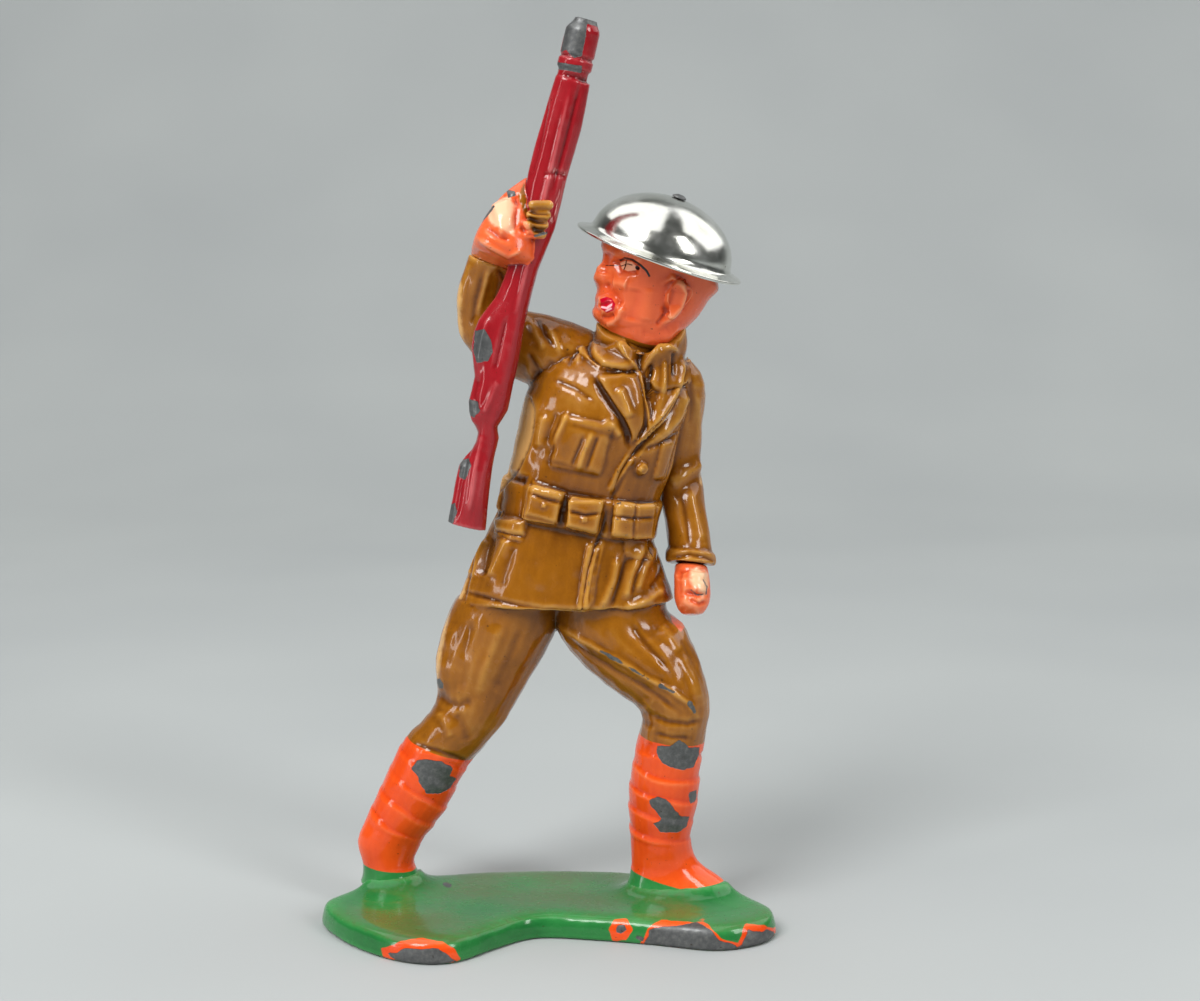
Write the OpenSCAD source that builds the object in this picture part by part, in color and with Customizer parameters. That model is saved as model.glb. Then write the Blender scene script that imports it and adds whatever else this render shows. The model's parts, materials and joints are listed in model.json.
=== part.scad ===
// Cast toy soldier striding with a raised rifle, on a kidney-shaped ground base.
// A pressed tin helmet turns on a peened stud on the crown of the head.
// Millimetres, Z up, the figure seen from the side of minus Y.
// The origin lies on the underside of the base, in the middle of its outline.

/* [Figure] */
// Height from the ground to the crown of the helmet
figure_h = 76; // [72:0.5:80]
// Lean of the waist to the side of plus X, in degrees
waist_tilt = 10; // [7:0.5:13]

/* [Base] */
// Length of the base
base_l = 47.6; // [45:0.2:52]
// Depth of the base from front to back
base_w = 23; // [21:0.2:26]
// Thickness of the base
base_t = 2.6; // [2:0.1:3.2]
// Rounding of the edge of the base
base_edge = 0.8; // [0.5:0.05:1]

/* [Legs] */
// Width of a thigh
thigh_w = 10.2; // [9.4:0.1:10.8]
// Width of a knee
knee_w = 7.2; // [6.4:0.1:7.8]
// Width of a wrapped calf
calf_w = 7.3; // [6.5:0.1:7.8]
// Width of the rear ankle
ankle_w = 5.4; // [4.8:0.1:6]
// Length of the front boot
boot_l = 10.4; // [9.4:0.1:11.2]
// Width of the front boot
boot_w = 5.4; // [4.8:0.1:6]

/* [Tunic] */
// Width of the tunic at the hem
hem_w = 22.4; // [21.4:0.1:23]
// Depth of the tunic at the hem
hem_d = 13.2; // [12.6:0.1:14]
// Width of the waist
waist_w = 16; // [15:0.1:16.6]
// Depth of the waist
waist_d = 11.2; // [10.4:0.1:12]
// Width of the chest
chest_w = 16.2; // [15.4:0.1:17]
// Depth of the chest
chest_d = 12; // [11.4:0.1:12.8]
// Width of the neck of the tunic
neck_w = 6.8; // [6.2:0.1:7.4]
// Stand of the belt above the tunic
belt_t = 0.35; // [0.25:0.05:0.6]
// Stand of the pouches above the belt
pouch_t = 0.8; // [0.5:0.05:1]
// Stand of the pockets above the tunic
pocket_t = 0.3; // [0.2:0.05:0.5]
// Stand of the lapels above the tunic
lapel_t = 0.5; // [0.3:0.05:0.7]
// Stand of the collar above the tunic
collar_t = 0.55; // [0.4:0.05:0.8]
// Stand of the front edge above the tunic
placket_t = 0.35; // [0.2:0.05:0.5]
// Diameter of the tunic button
button_d = 1.3; // [1:0.05:1.5]
// Height of the tunic button
button_h = 0.5; // [0.4:0.05:0.7]

/* [Arms] */
// Width of the raised sleeve at the shoulder
raised_sleeve_w = 7.4; // [6.8:0.1:7.8]
// Width of the raised forearm
raised_forearm_w = 5.4; // [4.8:0.1:5.8]
// Width of the raised hand
raised_hand_w = 5.2; // [4.6:0.1:5.6]
// Thickness of a finger round the rifle
finger_d = 0.95; // [0.7:0.05:1]
// Length of a finger round the rifle
finger_l = 2.5; // [2:0.1:2.8]
// Width of the hanging sleeve at the shoulder
hanging_sleeve_w = 5.8; // [5.2:0.1:6]
// Width of the hanging forearm
hanging_forearm_w = 4.6; // [4.2:0.1:4.8]
// Stand of the turned cuff above the sleeve
cuff_t = 0.3; // [0.2:0.05:0.4]
// Width of the closed fist
fist_w = 3.7; // [3.2:0.1:3.9]

/* [Rifle] */
// Length of the rifle from butt to muzzle
rifle_l = 51.6; // [48:0.2:54]
// Width of the stock
stock_w = 4.4; // [4:0.1:4.8]
// Thickness of the stock from front to back
stock_t = 3.4; // [3:0.1:3.6]
// Diameter of the barrel
barrel_d = 3; // [2.6:0.1:3.2]
// Diameter of the muzzle
muzzle_d = 3.4; // [3.2:0.1:3.6]
// Stand of the fore band above the stock
band_t = 0.18; // [0.1:0.02:0.3]
// Lean of the rifle to the side of plus X, in degrees
rifle_tilt = 13.5; // [13:0.1:14]

/* [Head] */
// Length of the head from brow to nape
head_l = 12.7; // [12:0.1:13]
// Width of the head
head_w = 10.8; // [10:0.1:11.4]
// Length of the nose in front of the face
nose_l = 1; // [0.7:0.05:1.3]
// Stand of an ear above the side of the head
ear_t = 0.7; // [0.5:0.05:0.9]
// Tilt of the helmet to the side of plus X, in degrees
head_tilt = 19.5; // [17:0.5:21]
// Tip of the helmet to the front, in degrees
head_nod = 5; // [3:0.5:7]
// Turn of the face to the front, in degrees
face_turn = 20; // [15:1:26]

/* [Helmet] */
// Thickness of the tin
tin_t = 0.35; // [0.3:0.02:0.5]
// Gap between the head and the inside of the helmet at the brim
helmet_gap = 0.4; // [0.3:0.05:0.6]
// Width of the brim
brim_w = 1.75; // [1.4:0.05:2]
// Height from the edge of the brim to the crown
helmet_h = 5.9; // [5.6:0.1:6.6]
// Drop of the brim
brim_drop = 0.55; // [0.4:0.05:0.7]
// Gap under the crown of the helmet
crown_gap = 0.3; // [0.25:0.05:0.45]
// Diameter of the crown stud
stud_d = 1; // [0.8:0.05:1.2]
// Diameter of the peened head of the stud
peen_d = 1.5; // [1.4:0.05:1.8]
// Height of the peened head of the stud
peen_h = 0.4; // [0.3:0.05:0.5]
// Clearance between the stud and the hole in the helmet
stud_clear = 0.05; // [0.03:0.01:0.1]

/* [Fit] */
// Gap between a relief and the form it lies on
seat_gap = 0.05; // [0.04:0.01:0.08]
// Overrun of a cut past the face it opens
cut_over = 0.6; // [0.4:0.1:1]

/* [Hidden] */
$fn = 48;
coat_sides = 40;
limb_sides = 28;
head_sides = 40;
rifle_sides = 20;

khaki = [0.62, 0.42, 0.14];
flesh = [0.95, 0.47, 0.27];
orange = [0.9, 0.4, 0.12];
green = [0.25, 0.42, 0.2];
crimson = [0.66, 0.1, 0.18];
lead = [0.45, 0.46, 0.47];
tin = [0.85, 0.86, 0.85];

function unit(v) = v / norm(v);
function mix(a, b, share) = a + (b - a) * share;
function lean(tilt, nod = 0) = [sin(tilt) * cos(nod), -sin(nod), cos(tilt) * cos(nod)];

// A row holds a place, the reach to the right, to the left and in depth, and the way the section faces
function row(place, right, left, deep, face) = concat(place, [right, left, deep], face);

// Smooth row between the rows of a table, the whole numbers being the rows themselves
function spline(rows, t) = let (
    i = min(floor(t), len(rows) - 2),
    f = t - i,
    before = rows[max(i - 1, 0)],
    from = rows[i],
    to = rows[i + 1],
    after = rows[min(i + 2, len(rows) - 1)])
    from + ((to - before) * f + (2 * before - 5 * from + 4 * to - after) * f * f
    + (3 * from - before - 3 * to + after) * f * f * f) / 2;

// Point of a section at an angle, stood off by out
function rim(r, across, angle, out = 0) = let (
    face = unit([r[6], r[7], r[8]]),
    v = unit(cross(face, across)),
    u = cross(v, face),
    reach = cos(angle) > 0 ? r[3] : r[4])
    [r[0], r[1], r[2]] + u * cos(angle) * (reach + out) + v * sin(angle) * (r[5] + out);

function ring(r, across, sides, out = 0) = [for (k = [0 : sides - 1]) rim(r, across, k * 360 / sides, out)];

// Sections of a form between two rows of its table
function rings(rows, across, sides, from, to, steps, out = 0) =
    [for (k = [0 : steps]) ring(spline(rows, mix(from, to, k / steps)), across, sides, out)];

// Grid of points on a form between two edges given as rows and angles
function grid(rows, across, edge_a, edge_b, steps, columns, out) = [for (k = [0 : steps])
    let (a = spline(edge_a, k * (len(edge_a) - 1) / steps), b = spline(edge_b, k * (len(edge_b) - 1) / steps))
    [for (c = [0 : columns]) let (p = mix(a, b, c / columns)) rim(spline(rows, p[0]), across, p[1], out)]];

function flat(lists) = [for (l = lists) for (p = l) p];
function middle(points) = [for (p = points) 1] * points / len(points);

// Solid between sections that follow each other
module skin(sections) {
    n = len(sections[0]);
    last = len(sections) - 1;
    sides = [for (j = [0 : last - 1]) for (i = [0 : n - 1]) let (
        a = j * n + i, b = j * n + (i + 1) % n, c = (j + 1) * n + (i + 1) % n, d = (j + 1) * n + i)
        each [[a, d, c], [a, c, b]]];
    low = n * len(sections);
    foot = [for (i = [0 : n - 1]) [i, (i + 1) % n, low]];
    top = [for (i = [0 : n - 1]) [last * n + (i + 1) % n, last * n + i, low + 1]];
    polyhedron(points = concat(flat(sections), [middle(sections[0]), middle(sections[last])]),
        faces = concat(sides, foot, top), convexity = 6);
}

// Raised patch between an inner and an outer grid of points
module patch(inner, outer) {
    m = len(inner[0]);
    last = len(inner) - 1;
    all = m * len(inner);
    over = [for (j = [0 : last - 1]) for (i = [0 : m - 2]) let (
        a = all + j * m + i, b = a + 1, d = a + m, c = d + 1)
        each [[a, d, c], [a, c, b]]];
    under = [for (j = [0 : last - 1]) for (i = [0 : m - 2]) let (
        a = j * m + i, b = a + 1, d = a + m, c = d + 1)
        each [[a, c, d], [a, b, c]]];
    foot = [for (i = [0 : m - 2]) each [[all + i, all + i + 1, i + 1], [all + i, i + 1, i]]];
    top = [for (i = [0 : m - 2]) let (p = last * m + i)
        each [[all + p + 1, all + p, p], [all + p + 1, p, p + 1]]];
    near = [for (j = [0 : last - 1]) let (p = j * m, q = p + m)
        each [[all + q, all + p, p], [all + q, p, q]]];
    far = [for (j = [0 : last - 1]) let (p = j * m + m - 1, q = p + m)
        each [[all + p, all + q, q], [all + p, q, p]]];
    polyhedron(points = concat(flat(inner), flat(outer)),
        faces = concat(over, under, foot, top, near, far), convexity = 6);
}

// Closed band between inner and outer sections
module band(inner, outer) {
    n = len(inner[0]);
    last = len(inner) - 1;
    all = n * len(inner);
    walls = [for (j = [0 : last - 1]) for (i = [0 : n - 1]) let (
        a = j * n + i, b = j * n + (i + 1) % n, c = (j + 1) * n + (i + 1) % n, d = (j + 1) * n + i)
        each [[all + a, all + d, all + c], [all + a, all + c, all + b], [a, c, d], [a, b, c]]];
    ends = [for (i = [0 : n - 1]) let (k = (i + 1) % n, p = last * n + i, q = last * n + k)
        each [[all + i, all + k, k], [all + i, k, i], [all + q, all + p, p], [all + q, p, q]]];
    polyhedron(points = concat(flat(inner), flat(outer)), faces = concat(walls, ends), convexity = 6);
}

// Turns the upward direction to a given direction
module aim(direction) {
    rotate([0, acos(direction[2] / norm(direction)), atan2(direction[1], direction[0])])
        children();
}

// Base: outline of a kidney in shares of half its length and half its depth
base_shares = [[-1, 0.04], [-0.88, -0.44], [-0.7, -0.82], [-0.52, -1], [-0.36, -0.95], [-0.2, -0.62],
    [-0.04, -0.37], [0.2, -0.42], [0.46, -0.54], [0.72, -0.68], [0.93, -0.5], [1, -0.16], [0.92, 0.18],
    [0.66, 0.7], [0.34, 0.96], [-0.05, 1], [-0.42, 0.92], [-0.72, 0.66], [-0.93, 0.32]];
base_steps = 4;
function base_point(t) = let (n = len(base_shares), i = floor(t), f = t - i,
    before = base_shares[(i + n - 1) % n],
    from = base_shares[i % n],
    to = base_shares[(i + 1) % n],
    after = base_shares[(i + 2) % n],
    p = from + ((to - before) * f + (2 * before - 5 * from + 4 * to - after) * f * f
        + (3 * from - before - 3 * to + after) * f * f * f) / 2)
    [p[0] * base_l / 2, p[1] * base_w / 2];
function base_ring(inset, z) = let (n = len(base_shares) * base_steps)
    [for (k = [0 : n - 1]) let (
        p = base_point(k / base_steps),
        q = base_point((k + n - 1) / base_steps),
        r = base_point((k + 1) / base_steps),
        along = unit(r - q))
        [p[0] - along[1] * inset, p[1] + along[0] * inset, z]];
base_rings = [base_ring(base_edge * 0.6, -cut_over), base_ring(base_edge * 0.5, 0),
    base_ring(base_edge * 0.12, base_edge * 0.4), base_ring(0, base_t * 0.45),
    base_ring(base_edge * 0.3, base_t - base_edge * 0.5), base_ring(base_edge, base_t),
    base_ring(base_edge * 1.2, base_t + cut_over)];

// Figure: places are shares of its height
function place(shares) = figure_h * shares;

// Rear leg, from the sole up to the hem
right_leg_shares = [
    [-0.22, 0.086, 0.034], [-0.226, 0.086, 0.062], [-0.226, 0.088, 0.088], [-0.215, 0.088, 0.114],
    [-0.188, 0.085, 0.16], [-0.156, 0.079, 0.224], [-0.11, 0.072, 0.278], [-0.09, 0.079, 0.345],
    [-0.064, 0.077, 0.405], [-0.052, 0.076, 0.443]];
right_leg_tilts = [0, 0, 8, 18, 26, 26, 20, 14, 4, 0];
right_leg_widths = [ankle_w * 1.12, ankle_w, ankle_w * 1.22, calf_w * 0.9, calf_w, calf_w, knee_w,
    thigh_w * 0.98, thigh_w * 1.14, thigh_w * 1.16];
right_leg_depths = [ankle_w * 1.04, ankle_w * 0.98, ankle_w * 1.08, calf_w * 0.88, calf_w * 0.98, calf_w,
    knee_w * 1.08, thigh_w, thigh_w * 1.06, thigh_w * 1.08];
right_leg = [for (k = [0 : len(right_leg_shares) - 1]) let (p = place(right_leg_shares[k]))
    row(k == 0 ? [p[0], p[1], base_t] : p, right_leg_widths[k] / 2, right_leg_widths[k] / 2,
        right_leg_depths[k] / 2, lean(right_leg_tilts[k]))];

// Front leg, from the sole up to the hem
left_leg_shares = [
    [0.18, 0.044, 0.034], [0.176, 0.046, 0.05], [0.161, 0.05, 0.075], [0.155, 0.052, 0.112],
    [0.158, 0.048, 0.168], [0.165, 0.04, 0.238], [0.172, 0.035, 0.305], [0.133, 0.05, 0.366],
    [0.092, 0.062, 0.405], [0.082, 0.068, 0.443]];
left_leg_tilts = [0, 0, 0, 2, 4, 2, -12, -32, -12, 0];
left_leg_widths = [boot_l, boot_l * 0.94, boot_l * 0.68, calf_w * 0.88, calf_w, calf_w * 0.96, knee_w * 1.02,
    thigh_w, thigh_w * 1.14, thigh_w * 1.14];
left_leg_depths = [boot_w, boot_w * 1.02, boot_w, calf_w * 0.88, calf_w, calf_w * 0.98, knee_w * 1.1,
    thigh_w, thigh_w * 1.06, thigh_w * 1.08];
left_leg = [for (k = [0 : len(left_leg_shares) - 1]) let (p = place(left_leg_shares[k]))
    row(k == 0 ? [p[0], p[1], base_t] : p, left_leg_widths[k] / 2, left_leg_widths[k] / 2,
        left_leg_depths[k] / 2, lean(left_leg_tilts[k]))];
crotch_share = 0.012;
boot_row = 3;
puttee_row = 5;
leg_row = 9;
leg_across = [1, 0, 0];

module leg(rows, from, to, steps) {
    skin(rings(rows, leg_across, limb_sides, from, to, steps));
}

// Half space to one side of the plane between the legs
module leg_side(side) {
    translate([figure_h * crotch_share + side * figure_h / 2, 0, figure_h / 2])
        cube(figure_h, center = true);
}

// Tunic, from the hem up to the neck
coat_shares = [
    [0.024, 0.066, 0.443], [0.031, 0.066, 0.497], [0.037, 0.066, 0.542], [0.041, 0.066, 0.568],
    [0.047, 0.066, 0.595], [0.063, 0.066, 0.649], [0.075, 0.066, 0.7], [0.092, 0.069, 0.745],
    [0.12, 0.072, 0.77], [0.142, 0.072, 0.78]];
neck_tilt = waist_tilt * 1.4;
coat_tilts = [0, waist_tilt * 0.5, waist_tilt, waist_tilt, waist_tilt, waist_tilt * 1.1, waist_tilt * 1.1,
    waist_tilt * 1.4, waist_tilt * 1.8, neck_tilt];
coat_widths = [hem_w, mix(hem_w, waist_w, 0.48), waist_w * 1.04, waist_w, waist_w, chest_w, chest_w,
    chest_w * 0.94, mix(chest_w, neck_w, 0.58), neck_w];
coat_depths = [hem_d, mix(hem_d, waist_d, 0.45), waist_d * 1.02, waist_d, waist_d, chest_d * 0.98, chest_d,
    chest_d * 0.9, mix(chest_d, neck_w, 0.6), neck_w * 0.97];
coat = [for (k = [0 : len(coat_shares) - 1])
    row(place(coat_shares[k]), coat_widths[k] / 2, coat_widths[k] / 2, coat_depths[k] / 2,
        lean(coat_tilts[k]))];
coat_across = [1, 0, 0];
coat_steps = 4;
hem_row = 0;
belt_low_row = 2.2;
waist_row = 3;
belt_top_row = 4;
neck_row = 9;

module coat_form(from, to, out = 0) {
    skin(rings(coat, coat_across, coat_sides, from, to, (to - from) * coat_steps, out));
}

// Relief on the tunic between two edges given as rows and angles
module relief(edge_a, edge_b, steps, columns, low, thick) {
    patch(grid(coat, coat_across, edge_a, edge_b, steps, columns, low),
        grid(coat, coat_across, edge_a, edge_b, steps, columns, low + thick));
}

// Relief bounded by two rows and two angles
module plain_relief(from, to, angle_a, angle_b, steps, columns, low, thick) {
    relief([[from, angle_a], [to, angle_a]], [[from, angle_b], [to, angle_b]], steps, columns, low, thick);
}

module base() color(green) intersection() {
    skin(base_rings);
    translate([-base_l, -base_w, 0])
        cube([2 * base_l, 2 * base_w, base_t]);
}

module right_boot() color(orange) leg(right_leg, 0, boot_row, 9);
module right_puttee() color(orange) leg(right_leg, boot_row, puttee_row, 8);
module right_breeches() color(khaki) intersection() {
    leg(right_leg, puttee_row, leg_row, 16);
    leg_side(-1);
}
module left_boot() color(orange) leg(left_leg, 0, boot_row, 9);
module left_puttee() color(orange) leg(left_leg, boot_row, puttee_row, 8);
module left_breeches() color(khaki) intersection() {
    leg(left_leg, puttee_row, leg_row, 16);
    leg_side(1);
}

module tunic_skirt() color(khaki) coat_form(hem_row, waist_row);
module tunic_body() color(khaki) coat_form(waist_row, neck_row);

module belt() color(khaki) band(
    rings(coat, coat_across, coat_sides, belt_low_row, belt_top_row, 8, seat_gap),
    rings(coat, coat_across, coat_sides, belt_low_row, belt_top_row, 8, seat_gap + belt_t));

// Pouches along the belt: middle angle and half width in degrees
pouch_angles = [[245, 12.5], [273.5, 11], [303, 7.8], [323, 10]];
pouch_from_share = 0.06;
pouch_to_share = 1.02;
module belt_pouches() color(khaki) for (p = pouch_angles)
    plain_relief(
        mix(belt_low_row, belt_top_row, pouch_from_share), mix(belt_low_row, belt_top_row, pouch_to_share),
        p[0] - p[1], p[0] + p[1], 6, 4, 2 * seat_gap + belt_t, pouch_t);

module right_breast_pocket() color(khaki) plain_relief(4.6, 5.85, 241, 277, 6, 8, seat_gap, pocket_t);
module left_breast_pocket() color(khaki) plain_relief(4.7, 5.6, 322, 338, 6, 4, seat_gap, pocket_t);

// Flaps of the hip pockets, under the belt
module right_hip_pocket() color(khaki) plain_relief(1.6, 2.12, 203, 234, 4, 8, seat_gap, pocket_t);
module left_hip_pocket() color(khaki) plain_relief(1.55, 2.1, 308, 332, 4, 6, seat_gap, pocket_t);

// Front edge of the tunic, above and below the belt
module upper_placket() color(khaki) relief([[4.3, 287], [4.75, 289], [5.15, 293]],
    [[4.3, 292], [4.75, 295], [5.15, 300]], 5, 2, seat_gap, placket_t);
module lower_placket() color(khaki) relief([[0.05, 277], [0.9, 278], [1.8, 280]],
    [[0.05, 282], [0.9, 284], [1.8, 287]], 8, 2, seat_gap, placket_t);

button_row = 4.88;
button_angle = 308;
module tunic_button() color(khaki)
    translate(rim(spline(coat, button_row), coat_across, button_angle, 2 * seat_gap))
        aim(rim(spline(coat, button_row), coat_across, button_angle, button_d)
            - rim(spline(coat, button_row), coat_across, button_angle))
            cylinder(d = button_d, h = button_h);

// Lapels: right and left edge of each, from the button up to the collar
module right_lapel() color(khaki) relief([[5.5, 293.5], [5.95, 287], [6.35, 276], [6.75, 264], [7.1, 255]],
    [[5.62, 296.5], [6, 299.5], [6.5, 295], [7.05, 287], [7.55, 277]], 12, 5, seat_gap, lapel_t);
module left_lapel() color(khaki) relief([[5.5, 298], [5.9, 303.5], [6.3, 306], [6.65, 306], [6.98, 305]],
    [[5.4, 300], [5.75, 307], [6.25, 317], [6.8, 322.5], [7.35, 328]], 12, 5, seat_gap, lapel_t);

// Collar: angles from its left end round the neck to its right end, and the row of its lower edge at each
collar_angles = [290, 303, 320, 345, 375, 405, 435, 465, 495, 525, 555, 575, 595, 612, 626, 634];
collar_low_rows = [7.35, 7.12, 7.45, 7.75, 7.8, 7.8, 7.8, 7.8, 7.8, 7.8, 7.78, 7.7, 7.55, 7.4, 7.5, 7.85];
collar_top_row = 8.9;
module collar_form(over, low, thick) {
    relief([for (a = collar_angles) [collar_top_row + over, a]],
        [for (k = [0 : len(collar_angles) - 1]) [collar_low_rows[k] - over, collar_angles[k]]],
        60, 5, low, thick);
}
module collar() color(khaki) collar_form(0, seat_gap, collar_t);

// Room for the collar in the sleeves, from just under its lower edge
collar_room_share = 0.05;
module collar_room() {
    collar_form(collar_room_share, 0, 4 * seat_gap + collar_t);
}

// Hanging arm, from the wrist up to the shoulder
left_arm_shares = [
    [0.195, 0.062, 0.492], [0.193, 0.074, 0.53], [0.184, 0.096, 0.58], [0.176, 0.112, 0.625],
    [0.176, 0.108, 0.68], [0.176, 0.096, 0.735], [0.17, 0.084, 0.762]];
left_arm_tilts = [4, 6, 8, 4, 0, 0, -20];
left_arm_widths = [
    hanging_forearm_w, hanging_forearm_w * 0.98, hanging_forearm_w * 1.02,
    hanging_sleeve_w * 0.86, hanging_sleeve_w * 0.92, hanging_sleeve_w, hanging_sleeve_w * 0.6];
left_arm = [for (k = [0 : len(left_arm_shares) - 1])
    row(place(left_arm_shares[k]), left_arm_widths[k] / 2, left_arm_widths[k] / 2,
        left_arm_widths[k] * 0.54, lean(left_arm_tilts[k], k < 3 ? -14 : 0))];
arm_across = [1, 0, 0];
left_cuff_row = 0.5;

module left_sleeve() color(khaki) difference() {
    skin(rings(left_arm, arm_across, limb_sides, 0, 6, 18));
    coat_form(waist_row, neck_row, seat_gap);
    collar_room();
}
module left_cuff() color(khaki) band(
    rings(left_arm, arm_across, limb_sides, 0, left_cuff_row, 3, seat_gap),
    rings(left_arm, arm_across, limb_sides, 0, left_cuff_row, 3, seat_gap + cuff_t));

left_hand_place_shares = [
    [0.196, 0.028, 0.428], [0.196, 0.034, 0.445], [0.196, 0.044, 0.47], [0.195, 0.062, 0.492]];
left_hand_tilts = [0, 0, 2, 4];
left_hand_shares = [0.6, 1, 1.02, 0.94];
left_hand_rows = [for (k = [0 : 3]) row(
    place(left_hand_place_shares[k]), fist_w * left_hand_shares[k] / 2, fist_w * left_hand_shares[k] / 2,
    fist_w * left_hand_shares[k] * 0.6, lean(left_hand_tilts[k], k < 3 ? -18 : -14))];
module left_hand() color(flesh) skin(rings(left_hand_rows, arm_across, limb_sides, 0, 3, 9));

// Raised arm, from the shoulder out to the elbow and up to the wrist
right_arm_shares = [
    [0.046, 0.076, 0.757], [0, 0.08, 0.778], [-0.046, 0.086, 0.796], [-0.08, 0.088, 0.814],
    [-0.087, 0.08, 0.853], [-0.072, 0.062, 0.9]];
right_arm_tilts = [-72, -66, -60, -36, -2, 20];
right_arm_widths = [
    raised_sleeve_w * 1.06, raised_sleeve_w * 1.04, raised_sleeve_w * 0.92,
    raised_forearm_w * 1.12, raised_forearm_w * 0.98, raised_forearm_w * 0.94];
right_arm_depths = [
    raised_sleeve_w, raised_sleeve_w * 0.98, raised_sleeve_w * 0.86,
    raised_forearm_w * 1.04, raised_forearm_w * 0.9, raised_forearm_w * 0.86];
right_arm = [for (k = [0 : len(right_arm_shares) - 1])
    row(place(right_arm_shares[k]), right_arm_widths[k] / 2, right_arm_widths[k] / 2,
        right_arm_depths[k] / 2, lean(right_arm_tilts[k]))];

elbow_row = 3;
wrist_row = 5;
module right_upper_sleeve() color(khaki) difference() {
    skin(rings(right_arm, arm_across, limb_sides, 0, elbow_row, 12));
    coat_form(waist_row, neck_row, seat_gap);
    collar_room();
}
module right_forearm_sleeve() color(khaki)
    skin(rings(right_arm, arm_across, limb_sides, elbow_row, wrist_row, 8));

// Raised hand, from the wrist up over the front of the stock
right_hand_place_shares = [
    [-0.072, 0.062, 0.9], [-0.061, 0.006, 0.919], [-0.047, 0.006, 0.95], [-0.033, 0.014, 0.98],
    [-0.016, 0.02, 1.006]];
right_hand_tilts = [20, 24, 28, 32, 36];
right_hand_left_shares = [0.47, 0.53, 0.49, 0.35, 0.18];
right_hand_right_shares = [0.47, 0.74, 0.66, 0.4, 0.18];
right_hand_deep_shares = [0.49, 0.55, 0.5, 0.36, 0.19];
right_hand_rows = [for (k = [0 : 4]) row(
    place(right_hand_place_shares[k]), raised_hand_w * right_hand_right_shares[k],
    raised_hand_w * right_hand_left_shares[k], raised_hand_w * right_hand_deep_shares[k],
    lean(right_hand_tilts[k]))];
module right_hand() color(flesh) difference() {
    skin(rings(right_hand_rows, arm_across, limb_sides, 0, 4, 12));
    rifle_form(rifle_shares, seat_gap);
    finger_forms(seat_gap);
}

// Rifle in its own direction: share along, right, left and depth shares of the stock
rifle_place_shares = [-0.106, 0.008, 0.553];
rifle_axis = lean(rifle_tilt);
rifle_across = [1, 0, 0];
rifle_shares = [
    [0, 0.44, 0.46, 0.86], [0.05, 0.36, 0.48, 0.94], [0.115, 0.27, 0.5, 0.94], [0.15, 0.25, 0.3, 0.8],
    [0.185, 0.25, 0.25, 0.74], [0.205, 0.16, 0.46, 0.8], [0.24, 0.3, 0.62, 0.96], [0.29, 0.29, 0.62, 1],
    [0.345, 0.29, 0.84, 1], [0.4, 0.24, 0.82, 1], [0.45, 0.23, 0.56, 1], [0.52, 0.25, 0.44, 0.98],
    [0.6, 0.4, 0.44, 0.98], [0.7, 0.41, 0.48, 0.96], [0.8, 0.47, 0.43, 0.94], [0.885, 0.43, 0.37, 0.9]];
stock_end_share = 0.885;
function rifle_rows(shares) = [for (s = shares) row(
    place(rifle_place_shares) + rifle_axis * rifle_l * s[0],
    stock_w * s[1], stock_w * s[2], stock_t * s[3] / 2, rifle_axis)];
module rifle_form(shares, out = 0) {
    rows = rifle_rows(shares);
    skin(rings(rows, rifle_across, rifle_sides, 0, len(rows) - 1, (len(rows) - 1) * 2, out));
}

module rifle_stock() color(crimson) rifle_form(rifle_shares);
module rifle_barrel() color(crimson)
    translate(place(rifle_place_shares) + rifle_axis * rifle_l * stock_end_share)
        aim(rifle_axis)
            cylinder(d = barrel_d, h = rifle_l * (muzzle_share - stock_end_share));
// Fore band round the barrel and the wider muzzle above it
band_share = 0.905;
band_l_share = 0.018;
muzzle_share = 0.93;
module rifle_band() color(lead)
    translate(place(rifle_place_shares) + rifle_axis * rifle_l * band_share)
        aim(rifle_axis)
            difference() {
                cylinder(d = barrel_d + 2 * seat_gap + 2 * band_t, h = rifle_l * band_l_share);
                translate([0, 0, -cut_over])
                    cylinder(d = barrel_d + 2 * seat_gap, h = rifle_l * band_l_share + 2 * cut_over);
            }
module rifle_muzzle() color(lead)
    translate(place(rifle_place_shares) + rifle_axis * rifle_l * muzzle_share)
        aim(rifle_axis)
            cylinder(d = muzzle_d, h = rifle_l * (1 - muzzle_share));

// Fingers laid over the front of the stock, one above the other
finger_shares = [0.585, 0.604, 0.623, 0.642];
finger_across_share = 0.02;
module finger_forms(out = 0) {
    for (f = finger_shares)
        translate(place(rifle_place_shares) + rifle_axis * rifle_l * f
            + [-finger_l / 2 - stock_w * finger_across_share, -stock_t / 2 - finger_d / 2 - seat_gap, 0])
            rotate([0, 90, 0])
                rotate_extrude()
                    finger_half(out);
}
module finger_half(out) {
    intersection() {
        union() {
            translate([0, finger_d / 2])
                circle(d = finger_d + 2 * out);
            translate([0, finger_l - finger_d / 2])
                circle(d = finger_d + 2 * out);
            translate([-finger_d / 2, finger_d / 2])
                square([finger_d + out, finger_l - finger_d]);
        }
        translate([0, -out])
            square([finger_d, finger_l + 2 * out]);
    }
}
module right_fingers() color(flesh) finger_forms();

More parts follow.
